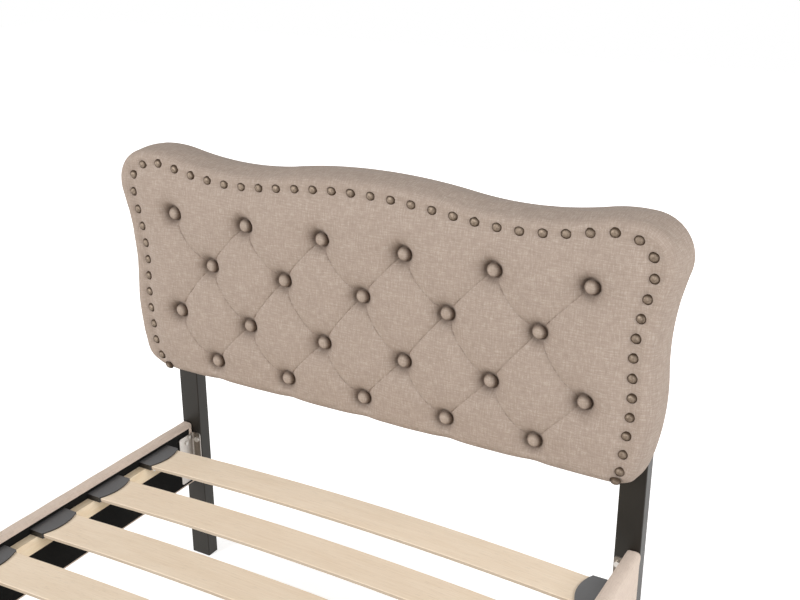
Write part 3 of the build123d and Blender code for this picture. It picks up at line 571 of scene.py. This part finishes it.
def front_rise(points):
    """How far the cover stands in front of the button plane at each point of its face."""
    inset, _ = gap_to(points, closed_border)
    rise = rim_height + (puff_height - rim_height) * eased((inset - puff_start) / puff_reach)
    to_nails, _ = gap_to(points, nail_line[1:-1])
    rise -= nail_row_dip * bell(to_nails, row_width) + nail_row_sag * bell(to_nails, sag_width)
    for spot in nail_spots[nail_spots[:, 1] > lower_nails]:
        rise -= nail_dent * bell(away_from(points, spot), dent_width)
    crease_gap = np.full(len(points), 9.0)
    drop = np.zeros(len(points))
    for line in crease_lines:
        gap, side = gap_to(points, line)
        ends = nearest_spot(points, (line[0], line[-1]))
        depth = crease_depth + crease_pull * np.exp(-(ends - button_radius) / crease_ends)
        fold = depth * np.exp(-gap / crease_width) + crease_sag * bell(gap, crease_sag_width)
        drop = np.maximum(drop, fold + side * crease_lap * np.exp(-gap / lap_width))
        crease_gap = np.minimum(crease_gap, gap)
    for line in edge_folds:
        gap, _ = gap_to(points, line)
        along_fold = away_from(points, line[0]) / np.hypot(*(line[-1] - line[0]))
        fold = fold_depth * np.exp(-gap / fold_width) * (1 - eased(along_fold))
        drop = np.maximum(drop, fold)
    rise -= drop
    inner_share = eased((inset - swell_start) / swell_reach)
    rise += diamond_swell * (1 - bell(crease_gap, swell_width)) * inner_share
    for x, z in button_spots:
        angle = np.arctan2(points[:, 1] - z, points[:, 0] - x)
        pleats = np.sin(11 * angle + 40 * x) * np.sin(4 * angle + 60 * z)
        from_ring = away_from(points, (x, z)) - pleat_radius
        rise += pleat_height * bell(from_ring, pleat_width) * pleats
    reach = nearest_spot(points, button_spots)
    rise -= (rise + button_pit) * np.exp(-np.maximum(reach - button_radius, 0) / pit_width)
    x, z = points.T
    return rise + wave_height * (np.sin(x * 61 + z * 23) * np.sin(z * 74 - x * 31))


front_plane = 0.92965
back_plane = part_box("headboard_pad")[1].y
pocket_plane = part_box("headboard_panel")[0].y
back_round = 0.0030
along_top = eased(outwards[:, 1] / 0.8)
roll_inset, roll_depth = 0.0210 - 0.0045 * along_top, 0.0320 - 0.0100 * along_top
rows = []


def add_row(inset, depth):
    """One ring of the border's skin, by its inset from the outline and its depth."""
    flat = border - outwards * np.broadcast_to(inset, border_count)[:, None]
    rows.append(np.c_[flat[:, 0], np.broadcast_to(depth, border_count), flat[:, 1]])


def face_outline(node, plane):
    """The edges round a CAD node's flat face that lies in the plane at this y."""
    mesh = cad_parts[node].data
    seen = {}
    for face in mesh.polygons:
        corners = [mesh.vertices[number].co for number in face.vertices]
        if all(abs(corner.y - plane) < 1e-5 for corner in corners):
            flat = [(round(corner.x, 6), round(corner.z, 6)) for corner in corners]
            for edge in zip(flat, flat[1:] + flat[:1]):
                key = tuple(sorted(edge))
                seen[key] = seen.get(key, 0) + 1
    return [np.array(edge) for edge, count in seen.items() if count == 1]


lining_gap, back_fold = 0.0002, 0.001
lining_edges = face_outline("headboard_back_cover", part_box("headboard_back_cover")[1].y)
rim_width = nearest_line(border, lining_edges) - lining_gap
wall_front = front_plane - front_rise(border - outwards * roll_inset[:, None]) + roll_depth
add_row(rim_width, pocket_plane)
add_row(rim_width, back_plane - back_fold)
add_row(rim_width - back_fold, back_plane)
for angle in np.linspace(0, math.pi / 2, 5):
    add_row(back_round * (1 - math.sin(angle)), back_plane - back_round * (1 - math.cos(angle)))
wall_rows, side_bulge, side_ripple = 13, 0.0022, 0.0004
for share in np.arange(1, wall_rows) / wall_rows:
    ripple = side_ripple * np.sin(border_runs * 47 + 5 * share)
    add_row(-(side_bulge + ripple) * math.sin(math.pi * share),
            (back_plane - back_round) * (1 - share) + wall_front * share)
for angle in np.linspace(0, math.pi / 2, 11):
    add_row(roll_inset * (1 - math.cos(angle)), wall_front - roll_depth * math.sin(angle))
first_front = len(rows) - 1
row_steps = [np.linalg.norm(after - before, axis=1).mean() for before, after in zip(rows, rows[1:])]
row_runs = np.r_[0, np.cumsum(row_steps)]
last_step = 0.0035
last_inset = roll_inset + last_step
last_ring = border - outwards * last_inset[:, None]
add_row(last_inset, front_plane - front_rise(last_ring))
ring_points = np.vstack(rows)

line_clear, button_clear, nail_clear = 0.0078, 0.0375, 0.0150
hex_step, field_side, field_bottom, field_top = 0.0052, 0.56, 0.5, 0.97
field, xs = [], np.arange(-field_side, field_side, hex_step)
for k, z in enumerate(np.arange(field_bottom, field_top, hex_step * math.sqrt(3) / 2)):
    field.append(np.c_[xs + (k % 2) * hex_step / 2, np.full(len(xs), z)])
field = np.vstack(field)
field = field[(nearest_line(field, drawn_lines) > line_clear)
              & (nearest_spot(field, button_spots) > button_clear)
              & (nearest_spot(field, nail_spots) > nail_clear)]
seam_start, seam_step = 0.0165, 0.0036
along_seams, seams = [], []
for line in drawn_lines:
    run = run_along(line)
    spots = np.arange(seam_start, run[-1] - (seam_start if len(line) > 3 else 0), seam_step)
    middle = np.c_[np.interp(spots, run, line[:, 0]), np.interp(spots, run, line[:, 1])]
    heading = np.gradient(middle, axis=0)
    across = np.c_[-heading[:, 1], heading[:, 0]] / np.hypot(*heading.T)[:, None]
    seams.append((sum(len(part) for part in along_seams), len(middle)))
    along_seams.append(middle)
    for offset in (-0.0054, -0.0028, -0.0012, 0.0012, 0.0028, 0.0054):
        along_seams.append(middle + across * offset)
button_rings = ((0, 1), (0.006, 8), (0.0105, 14), (0.0138, 22), (0.0157, 26), (0.0178, 30),
                (0.0205, 32), (0.0240, 32), (0.0282, 32), (0.0330, 34))
nail_rings = ((0, 1), (0.005, 7), (0.0090, 13), (0.0125, 16))
loose = [field]
for spots, sizes in ((button_spots, button_rings), (nail_spots, nail_rings)):
    for x, z in spots:
        for radius, count in sizes:
            turn = np.arange(count) / count * 2 * math.pi + radius * 90
            loose.append(np.c_[x + radius * np.cos(turn), z + radius * np.sin(turn)])
loose = np.vstack(loose)
seam_clear, hub_radius, border_clear = 0.0072, 0.0160, 0.0022
loose = loose[(nearest_line(loose, drawn_lines) > seam_clear)
              | (nearest_spot(loose, button_spots) < hub_radius)]
loose_inset, _ = gap_to(loose, closed_border)
border_above = np.zeros(len(loose), int)
for (x0, z0), (x1, z1) in zip(closed_border, closed_border[1:]):
    level = (loose[:, 1] > z0) != (loose[:, 1] > z1)
    border_above += level & (loose[:, 0] < x0 + (x1 - x0) * (loose[:, 1] - z0) / (z1 - z0 + 1e-12))
loose = loose[(border_above % 2 == 1) & (loose_inset > last_inset.max() + border_clear)]
inner = np.vstack([last_ring, *along_seams, loose])
seam_edges = [(border_count + start + i, border_count + start + i + 1)
              for start, count in seams for i in range(count - 1)]
flat_points, _, flat_faces, origins, _, _ = delaunay_2d_cdt(
    [Vector(p) for p in inner], seam_edges, [list(range(border_count))], 1, 1e-5)
flat_points = np.array([tuple(p) for p in flat_points])
ring_start = (len(rows) - 1) * border_count
numbers, added = np.zeros(len(flat_points), int), []
for i, source in enumerate(origins):
    on_ring = [s for s in source if s < border_count]
    if on_ring:
        numbers[i] = ring_start + on_ring[0]
    else:
        numbers[i] = len(ring_points) + len(added)
        added.append(i)
added_flat = flat_points[added]
added_points = np.c_[added_flat[:, 0], front_plane - front_rise(added_flat), added_flat[:, 1]]
cover_points = np.vstack([ring_points, added_points])


def ring_faces(rings, count):
    """The faces between closed rings of points, one ring after another."""
    return [(k * count + j, k * count + (j + 1) % count,
             (k + 1) * count + (j + 1) % count, (k + 1) * count + j)
            for k in range(rings - 1) for j in range(count)]


faces = [tuple(int(numbers[v]) for v in face) for face in flat_faces]
first_wall, wall_faces = len(faces), first_front * border_count
faces += ring_faces(len(rows), border_count) + [tuple(range(border_count))]
cover_mesh = bpy.data.meshes.new("headboard_cover")
cover_mesh.from_pydata(cover_points.tolist(), [], faces)
weave = cover_mesh.uv_layers.new(name="weave")
for polygon in cover_mesh.polygons:
    on_wall = first_wall <= polygon.index < first_wall + wall_faces
    for loop in polygon.loop_indices:
        vertex = cover_mesh.loops[loop].vertex_index
        place = cover_points[vertex][[0, 2]]
        if on_wall:
            closing = vertex % border_count == 0 and polygon.vertices[1] == vertex
            place = (steps[-1] if closing else border_runs[vertex % border_count],
                     row_runs[vertex // border_count])
        weave.data[loop].uv = place


def smooth(mesh, angle=None):
    """Smooth shading, with edges sharper than the angle kept sharp."""
    mesh.shade_smooth()
    if angle is not None:
        mesh.set_sharp_from_angle(angle=math.radians(angle))


def outwards_normals(mesh):
    """Turn every face outwards."""
    form = bmesh.new()
    form.from_mesh(mesh)
    bmesh.ops.recalc_face_normals(form, faces=form.faces)
    form.to_mesh(mesh)
    form.free()


outwards_normals(cover_mesh)
smooth(cover_mesh, 60)
cover = place_object("headboard_cover", cover_mesh)

full_hold, close_hold, light_hold = 1.0, 0.6, 0.25


def settle(piece, held, pressure, frames, most):
    """Let a closed skin settle as cloth over its filling, with some points held."""
    mesh = piece.data
    before = mesh_points(mesh)
    group = piece.vertex_groups.new(name="held")
    for level in (full_hold, close_hold, light_hold):
        group.add(np.nonzero(np.isclose(held, level))[0].tolist(), level, "REPLACE")
    cloth = piece.modifiers.new("settle", "CLOTH")
    for key, value in (("quality", 5), ("mass", 0.25), ("tension_stiffness", 12),
                       ("compression_stiffness", 12), ("shear_stiffness", 4),
                       ("bending_stiffness", 0.3), ("use_pressure", True),
                       ("uniform_pressure_force", pressure), ("vertex_group_mass", "held")):
        setattr(cloth.settings, key, value)
    cloth.settings.effector_weights.gravity = 0
    cloth.collision_settings.use_collision = False
    cloth.point_cache.frame_start, cloth.point_cache.frame_end = 1, frames
    for number in range(1, frames + 1):
        scene.frame_set(number)
    evaluated = piece.evaluated_get(bpy.context.evaluated_depsgraph_get())
    move = mesh_points(evaluated.to_mesh()) - before
    evaluated.to_mesh_clear()
    piece.modifiers.clear()
    piece.vertex_groups.clear()
    scene.frame_set(1)
    length = np.linalg.norm(move, axis=1)
    move *= (np.minimum(length, most) / np.maximum(length, 1e-9))[:, None]
    mesh.vertices.foreach_set("co", (before + move).ravel())
    mesh.update()


cover_face = cover_points[:, [0, 2]]
to_button = nearest_spot(cover_face, button_spots)
to_crease = nearest_line(cover_face, crease_lines)
to_nail = nearest_spot(cover_face, nail_spots)
button_reach, nail_reach, crease_reach, crease_core = 0.0175, 0.0100, 0.0040, 0.0018
rows_behind = 8
held = np.zeros(len(cover_points))
held[to_crease < crease_reach] = light_hold
held[to_crease < crease_core] = close_hold
held[(to_button < button_reach) | (to_nail < nail_reach)] = full_hold
held[:rows_behind * border_count] = full_hold
held[rows_behind * border_count:first_front * border_count] = 0.0
settle(cover, held, pressure=2.0, frames=10, most=0.0030)

# Painted shade: the cover's linen darkens towards each button, where the pits fall in shade.
painted_shade = cover_mesh.attributes.new("painted_shade", "FLOAT", "POINT")
pit_shade_start, pit_shade_fade = 0.0125, 0.0075
pit_shade_share = np.exp(-np.maximum(to_button - pit_shade_start, 0) / pit_shade_fade)
pit_shade_share[:len(ring_points)] = 0
painted_shade.data.foreach_set("value", pit_shade_share.astype(np.float32))


def pit_shade_round_buttons(tree):
    """A mask of painted shade on the cover's linen, strongest in the pits round the buttons."""
    share = add_node(tree, "ShaderNodeAttribute", attribute_name="painted_shade").outputs["Fac"]
    return maths("MULTIPLY", share, 0.66)


headboard_linen = linen("headboard_linen", srgb(171, 155, 143), painted_shade=pit_shade_round_buttons)
cover_mesh.materials.append(headboard_linen)
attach(cover, "root")
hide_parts("headboard_pad")


# Buttons: domed moulds covered in the same linen, pulled down into the foam by twine.
# Each is pinched in at its rim, where the cloth is bunched under the mould. Its linen is
# painted darker towards the rim, as painted shade.
def input_key(tree, name):
    """The identifier of a tree's input, which sets a modifier's value."""
    return next(item.identifier for item in tree.interface.items_tree
                if item.name == name and item.in_out == "INPUT")


def turned_form(name, profile, around):
    """A closed form turned about its own Z axis, from radii and heights."""
    form = bmesh.new()
    rings = []
    for radius, height in profile:
        if radius == 0:
            rings.append([form.verts.new((0, 0, height))])
        else:
            rings.append([form.verts.new((radius * math.cos(2 * math.pi * i / around),
                                          radius * math.sin(2 * math.pi * i / around), height))
                          for i in range(around)])
    for low, high in zip(rings, rings[1:]):
        for i in range(around):
            j = (i + 1) % around
            face = [low[i % len(low)], low[j % len(low)], high[j % len(high)], high[i % len(high)]]
            form.faces.new(list(dict.fromkeys(face)))
    bmesh.ops.recalc_face_normals(form, faces=form.faces)
    spread_map = form.loops.layers.uv.new("spread")
    for face in form.faces:
        for corner in face.loops:
            corner[spread_map].uv = corner.vert.co.to_2d() + Vector((0.5, 0.5))
    mesh = bpy.data.meshes.new(name)
    form.to_mesh(mesh)
    form.free()
    return bpy.data.objects.new(name, mesh)


copies_tree = bpy.data.node_groups.new("copies_on_points", "GeometryNodeTree")
for label, kind in (("Geometry", "NodeSocketGeometry"), ("Form", "NodeSocketObject"),
                    ("Diameter", "NodeSocketFloat"), ("Height", "NodeSocketFloat"),
                    ("Finish", "NodeSocketMaterial")):
    copies_tree.interface.new_socket(label, in_out="INPUT", socket_type=kind)
copies_tree.interface.new_socket("Geometry", in_out="OUTPUT", socket_type="NodeSocketGeometry")
copies_in = copies_tree.nodes.new("NodeGroupInput").outputs
form_info = fed_node("GeometryNodeObjectInfo", {"Object": copies_in["Form"]})
facing, spin = [
    add_node(copies_tree, "GeometryNodeInputNamedAttribute", {"Name": label}, data_type=kind)
    for label, kind in (("facing", "FLOAT_VECTOR"), ("spin", "FLOAT"))]
spin_turn = fed_node("ShaderNodeCombineXYZ", {"Z": spin.outputs[0]})
aimed = fed_node("FunctionNodeAlignRotationToVector", {
    "Rotation": spin_turn.outputs[0], "Vector": facing.outputs[0]}, axis="Z")
sizes = fed_node("ShaderNodeCombineXYZ", {
    "X": copies_in["Diameter"], "Y": copies_in["Diameter"], "Z": copies_in["Height"]})
copies = fed_node("GeometryNodeInstanceOnPoints", {
    "Points": copies_in["Geometry"], "Instance": form_info.outputs["Geometry"],
    "Rotation": aimed.outputs[0], "Scale": sizes.outputs[0]})
real_copies = fed_node("GeometryNodeRealizeInstances", {0: copies.outputs[0]})
finished_copies = fed_node("GeometryNodeSetMaterial", {
    "Geometry": real_copies.outputs[0], "Material": copies_in["Finish"]})
feed(copies_tree.nodes.new("NodeGroupOutput").inputs[0], finished_copies.outputs[0])


def evaluated_mesh(piece):
    """A piece's mesh with its modifiers applied."""
    bpy.context.view_layer.update()
    return bpy.data.meshes.new_from_object(
        piece.evaluated_get(bpy.context.evaluated_depsgraph_get()))


def place_copies(name, form, places, facings, spins, diameter, height, finish):
    """Copies of a unit form set on places, each turned to its facing, as one plain mesh."""
    points = bpy.data.meshes.new(name + "_points")
    points.from_pydata([tuple(p) for p in places], [], [])
    for label, kind, key, values in (("facing", "FLOAT_VECTOR", "vector", facings),
                                     ("spin", "FLOAT", "value", spins)):
        attribute = points.attributes.new(label, kind, "POINT")
        attribute.data.foreach_set(key, np.asarray(values, np.float32).ravel())
    carrier = place_object(name + "_points", points)
    scene.collection.objects.link(form)
    modifier = carrier.modifiers.new("copies", "NODES")
    modifier.node_group = copies_tree
    for label, value in (("Form", form), ("Diameter", diameter), ("Height", height),
                         ("Finish", finish)):
        modifier[input_key(copies_tree, label)] = value
    mesh = evaluated_mesh(carrier)
    for label in ("facing", "spin"):
        if label in mesh.attributes:
            mesh.attributes.remove(mesh.attributes[label])
    bpy.data.objects.remove(carrier)
    bpy.data.objects.remove(form)
    mesh.name = name
    return place_object(name, mesh)


def lay_flat_weave(mesh):
    """The weave's map on small pieces: their places across and up the headboard."""
    layer = mesh.uv_layers.get("weave") or mesh.uv_layers.new(name="weave")
    for loop in mesh.loops:
        point = mesh.vertices[loop.vertex_index].co
        layer.data[loop.index].uv = (point.x, point.z)


def off_axis(tree):
    """How far a place on a turned form is from its axis, from 0 to 0.5 at the rim."""
    place = add_node(tree, "ShaderNodeUVMap", uv_map="spread").outputs[0]
    return fed_node("ShaderNodeVectorMath", {0: place, 1: (0.5, 0.5, 0.0)},
                    operation="DISTANCE").outputs["Value"]


def button_rim_shade(tree):
    """A mask of painted shade on a button's linen, darker towards its rim."""
    return span(off_axis(tree), 0.29, 0.47, 0.0, 0.62)


button_profile = [(0, -0.45), (0.36, -0.45), (0.43, -0.30), (0.475, -0.14), (0.5, 0.04),
                  (0.497, 0.20), (0.475, 0.38), (0.435, 0.54), (0.375, 0.69), (0.295, 0.82),
                  (0.20, 0.92), (0.10, 0.98), (0, 1.0)]
button_form = turned_form("button_form", button_profile, 28)
button_diameter, button_height, button_lift = 0.0250, 0.0094, 0.0036
button_places = [(x, front_plane + button_lift, z) for x, z in button_spots]
spread = np.random.default_rng(7)
button_facings = np.c_[spread.normal(0, 0.03, len(button_spots)),
                       np.full(len(button_spots), -1.0),
                       spread.normal(0, 0.03, len(button_spots))]
# Painted shade: each button's linen darkens towards its rim.
button_linen = linen("button_linen", srgb(174, 158, 145), painted_shade=button_rim_shade)
buttons = place_copies("tuft_button_caps", button_form, button_places, button_facings,
                       spread.uniform(0, 6, len(button_spots)), button_diameter, button_height,
                       button_linen)
lay_flat_weave(buttons.data)
smooth(buttons.data)
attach(buttons, "root")
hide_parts("tuft_buttons")


# Decorative nails: pressed domes with a small rolled rim, in an antiqued brass, driven through
# the cover into the panel. The lowest pair sits askew on the roll of the bottom corners.
nail_profile = [(0, -0.25), (0.44, -0.22), (0.49, -0.10), (0.5, 0.02), (0.485, 0.13),
                (0.455, 0.16), (0.44, 0.24), (0.41, 0.44), (0.35, 0.66), (0.26, 0.84),
                (0.14, 0.96), (0, 1.0)]
nail_form = turned_form("nail_form", nail_profile, 20)
nail_diameter, nail_height, nail_lift = 0.0186, 0.0052, 0.0010
low_nail_lift, low_nail_drop = 0.0012, 0.0015
nail_places, nail_facings = [], []
for (x, z), rise, low in zip(nail_spots, front_rise(nail_spots), lowest):
    if low:
        nail_places.append((x, front_plane - rise - low_nail_lift, z - low_nail_drop))
        nail_facings.append((math.copysign(0.10, x), -1.0, -0.42))
    else:
        nail_places.append((x, front_plane - rise - nail_lift, z))
        nail_facings.append((spread.normal(0, 0.04), -1.0, spread.normal(0, 0.04)))
aged_brass, brass_tree, brass_shader = new_material("aged_brass", Metallic=1.0)
tarnish = span(noise(object_place(brass_tree), 260.0, 4.0, 0.65), 0.35, 0.65)
speckle = span(noise(object_place(brass_tree), 1400.0, 2.0), 0.42, 0.62)
rubbed = mixed(tarnish, srgb(113, 100, 88), srgb(144, 130, 116))
# The dome darkens towards its rim: partly the brass's patina, partly painted shade.
patina_and_shade_at_rim = span(off_axis(brass_tree), 0.23, 0.40)
surface(brass_shader, mixed(patina_and_shade_at_rim, rubbed, srgb(72, 60, 50)),
        span(tarnish, 0.0, 1.0, 0.66, 0.56), speckle, 0.00006)
nails = place_copies("nail_heads", nail_form, nail_places, nail_facings,
                     spread.uniform(0, 6, len(nail_spots)), nail_diameter, nail_height, aged_brass)
smooth(nails.data, 50)
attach(nails, "root")
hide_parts("decor_nails")


# Fixings: zinc-plated bolts, washers, screws, inserts and rivet nuts, with a faint spangle and
# a few scuffs.
def spangle(tree, scale):
    """One tone for each crystal of a zinc coat."""
    crystals = fed_node("ShaderNodeTexVoronoi", {
        "Vector": object_place(tree), "Scale": scale}).outputs["Color"]
    return fed_node("ShaderNodeSeparateColor", {0: crystals}).outputs[0]


zinc, zinc_tree, zinc_shader = new_material("zinc_plate", Metallic=1.0)
zinc_tone = spangle(zinc_tree, 190.0)
scuff_place = stretch(object_place(zinc_tree), (60, 60, 900))
scuffs = span(noise(scuff_place, 1.0, 3.0), 0.55, 0.7)
zinc_rough = maths("ADD", span(zinc_tone, 0, 1, 0.30, 0.42), maths("MULTIPLY", scuffs, 0.15))
surface(zinc_shader,
        mixed(zinc_tone, srgb(196, 192, 186), srgb(212, 208, 203)),
        zinc_rough, scuffs, 0.00003)
finish_nodes(zinc, "headboard_bolts", "headboard_washers", "headboard_inserts",
             "ledger_screws_left", "ledger_screws_right", "bracket_screws",
             "head_bracket_bolts", "post_rivet_nuts", "foot_bolts", "foot_inserts")


# Corner brackets: bent steel angles, galvanised, with a faint spangle. The flange on the tube
# is painted darker than the one on the rail: painted shade for the dimmer reflection it shows.
bracket_steel, bracket_tree, bracket_shader = new_material("bracket_steel", Metallic=1.0)
bracket_tone = spangle(bracket_tree, 150.0)
lit_flange_steel = mixed(bracket_tone, srgb(190, 184, 178), srgb(202, 196, 190))
shaded_flange_steel = mixed(bracket_tone, srgb(122, 114, 105), srgb(134, 126, 117))
# Painted shade: the flange that faces along the bed, on the tube, takes the darker copy of the
# steel.
tube_flange_shade = facing_share(bracket_tree, 1, 0.3, 0.8)
bracket_dirt = noise(object_place(bracket_tree), 120.0, 3.0)
surface(bracket_shader, mixed(tube_flange_shade, lit_flange_steel, shaded_flange_steel),
        span(bracket_dirt, 0.3, 0.7, 0.34, 0.44), bracket_dirt, 0.00002)
finish_nodes(bracket_steel, "head_bracket_left", "head_bracket_right", "foot_bracket_left",
             "foot_bracket_right")


# Rails: pine boards padded with foam and covered in linen, which is drawn over the top and the
# ends and stapled on the inner face, under the black cloth.
board_pine = wooden("board_pine", *pine_tones, along_bed, 90.0)
finish_nodes(board_pine, "rail_board_left", "rail_board_right")


def rounded_section(width, height, outer_round, inner_round, bottom_round):
    """Points round a rail's section, anticlockwise from the inner bottom corner, in metres."""
    per_corner, step = 8, 0.012
    corners = []
    for x, z, radius, first in ((0, 0, bottom_round, 180), (width, 0, bottom_round, 270),
                                (width, height, outer_round, 0), (0, height, inner_round, 90)):
        middle_x = x + (radius if x == 0 else -radius)
        middle_z = z + (radius if z == 0 else -radius)
        for i in range(per_corner):
            angle = math.radians(first + 90 * i / (per_corner - 1))
            corners.append((middle_x + radius * math.cos(angle),
                            middle_z + radius * math.sin(angle)))
    corners = np.array(corners)
    filled = []
    for start, end in zip(corners, np.roll(corners, -1, axis=0)):
        count = max(1, int(round(np.hypot(*(end - start)) / step)))
        filled += [start + (end - start) * i / count for i in range(count)]
    return np.array(filled)


def box_cutter(low, high):
    """A box between two corners, to cut a hollow with."""
    cube = bmesh.new()
    bmesh.ops.create_cube(cube, size=1.0)
    for vert in cube.verts:
        vert.co = Vector((low + high) / 2 + np.array(vert.co) * (high - low))
    mesh = bpy.data.meshes.new("cutter")
    cube.to_mesh(mesh)
    cube.free()
    return place_object("cutter", mesh)


def padded_rail(name, node, board_node, lining_node, length_axis, side):
    """The soft cover of one rail, hollow for its board and open on the inner face."""
    low, high = [np.array(corner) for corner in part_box(node)]
    across = 1 - length_axis
    width, height, length = (high - low)[[across, 2, length_axis]]
    section = rounded_section(width, height, outer_round=0.0115, inner_round=0.0080,
                              bottom_round=0.0035)
    count = len(section)
    around = run_along(np.vstack([section, section[:1]]))
    end_round, ring_step = 0.0048, 0.011
    turns = np.linspace(0, math.pi / 2, 5)
    end_places, end_draws = end_round * (1 - np.cos(turns)), end_round * (1 - np.sin(turns))
    middle_steps = max(2, int((length - 2 * end_round) / ring_step))
    middles = end_round + (length - 2 * end_round) * np.arange(1, middle_steps) / middle_steps
    places = np.r_[end_places, middles, length - end_places[::-1]]
    draws = np.r_[end_draws, 0 * middles, end_draws[::-1]]
    outer = eased(section[:, 0] / width)
    face = outer * np.sin(np.pi * np.clip(section[:, 1] / height, 0, 1)) ** 0.6
    face_swell, face_wave, top_swell, end_reach = 0.0012, 0.0004, 0.0016, 0.06
    crown_height, crown_wave, crown_reach = 0.0021, 0.0003, 0.030
    top = eased((section[:, 1] - height + crown_reach) / crown_reach)
    points = []
    for place, draw in zip(places, draws):
        pulled = np.clip(section, (draw, draw), (width - draw, height - draw))
        ends = min(1.0, min(place, length - place) / end_reach)
        wave = 0.45 * math.sin(place * 21 + 1) + 0.35 * math.sin(place * 47 + 2)
        swell = face * (face_swell + face_wave * wave) * ends + top * outer * top_swell
        crown = top * (crown_height * np.sin(np.pi * section[:, 0] / width) ** 0.7
                       + crown_wave * math.sin(place * 63))
        points.append(np.c_[np.full(count, place), pulled[:, 0] + swell, pulled[:, 1] + crown])
    points = np.vstack(points)
    inner = low[across] if side > 0 else high[across]
    world = np.zeros_like(points)
    world[:, length_axis] = low[length_axis] + points[:, 0]
    world[:, across] = inner + side * points[:, 1]
    world[:, 2] = low[2] + points[:, 2]
    faces = ring_faces(len(places), count)
    skin_faces = len(faces)
    faces += [tuple(range(count)), tuple(range(len(points) - count, len(points)))]
    mesh = bpy.data.meshes.new(name)
    mesh.from_pydata(world.tolist(), [], faces)
    layer = mesh.uv_layers.new(name="weave")
    for polygon in mesh.polygons:
        closing = polygon.index % count == count - 1
        for loop in polygon.loop_indices:
            vertex = mesh.loops[loop].vertex_index
            turn = count if closing and vertex % count == 0 else vertex % count
            place = (points[vertex][0], around[turn])
            layer.data[loop].uv = points[vertex][1:] if polygon.index >= skin_faces else place
    outwards_normals(mesh)
    rail = place_object(name, mesh)
    slack, lining_reach = 0.00025, 0.004
    cutters = []
    for cut_node in (board_node, lining_node):
        cut_low, cut_high = [np.array(corner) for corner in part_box(cut_node)]
        cut_low, cut_high = cut_low - slack, cut_high + slack
        if cut_node == lining_node:
            open_side = inner - side * lining_reach
            cut_low[across] = min(cut_low[across], open_side)
            cut_high[across] = max(cut_high[across], open_side)
        cutters.append(box_cutter(cut_low, cut_high))
        cut = rail.modifiers.new("cut", "BOOLEAN")
        cut.operation = "DIFFERENCE"
        cut.solver = "EXACT"
        cut.object = cutters[-1]
    finished = evaluated_mesh(rail)
    rail.modifiers.clear()
    rail.data = finished
    for cutter in cutters:
        bpy.data.objects.remove(cutter)
    smooth(finished, 40)
    finished.materials.clear()
    finished.materials.append(rail_linen)
    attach(rail, "root")
    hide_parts(node)


# The rails' linen is paler than the headboard's: partly a paler cloth, partly painted light.
rail_linen = linen("rail_linen", srgb(223, 206, 192), contrast=0.52)
padded_rail("rail_padding_left", "rail_cover_left", "rail_board_left", "rail_lining_left", 1, -1)
padded_rail("rail_padding_right", "rail_cover_right", "rail_board_right", "rail_lining_right", 1, 1)
padded_rail("foot_rail_padding", "foot_rail_cover", "foot_rail_board", "foot_rail_lining", 0, -1)


# Ledgers: planed pine strips, glued and screwed along the inner faces of the side rails.
# They carry the slats' end caps.
ledger_pine = wooden("ledger_pine", srgb(252, 235, 208), srgb(238, 214, 178), along_bed, 75.0, 0.5)
finish_nodes(ledger_pine, "ledger_left", "ledger_right")


# Slats: bent birch laminations, sanded and pale, with eased long edges. Their grain runs across
# the bed.
# The slats' upright sides are painted darker than their tops: partly the laminations' darker edges,
# partly painted shade.
slat_birch = wooden("slat_birch", srgb(247, 230, 207), srgb(236, 216, 190), ring_scale=34.0,
                    ring_share=0.4, edge_shade=(0.66, 0.65, 0.65, 1))
finish_nodes(slat_birch, *[f"slat_{number:02d}" for number in range(1, 14)])


# Slat caps: dark grey moulded pockets that hold the slats' ends on the ledgers. The plastic is
# fine-grained and a little shiny.
# Painted shade: the caps' upright sides are painted near-black.
cap_plastic = coated("cap_plastic", srgb(78, 78, 79), 0.0006, 0.42, 0.00003, shaded_sides=srgb(30, 28, 26))
finish_nodes(cap_plastic, "slat_caps_left", "slat_caps_right")
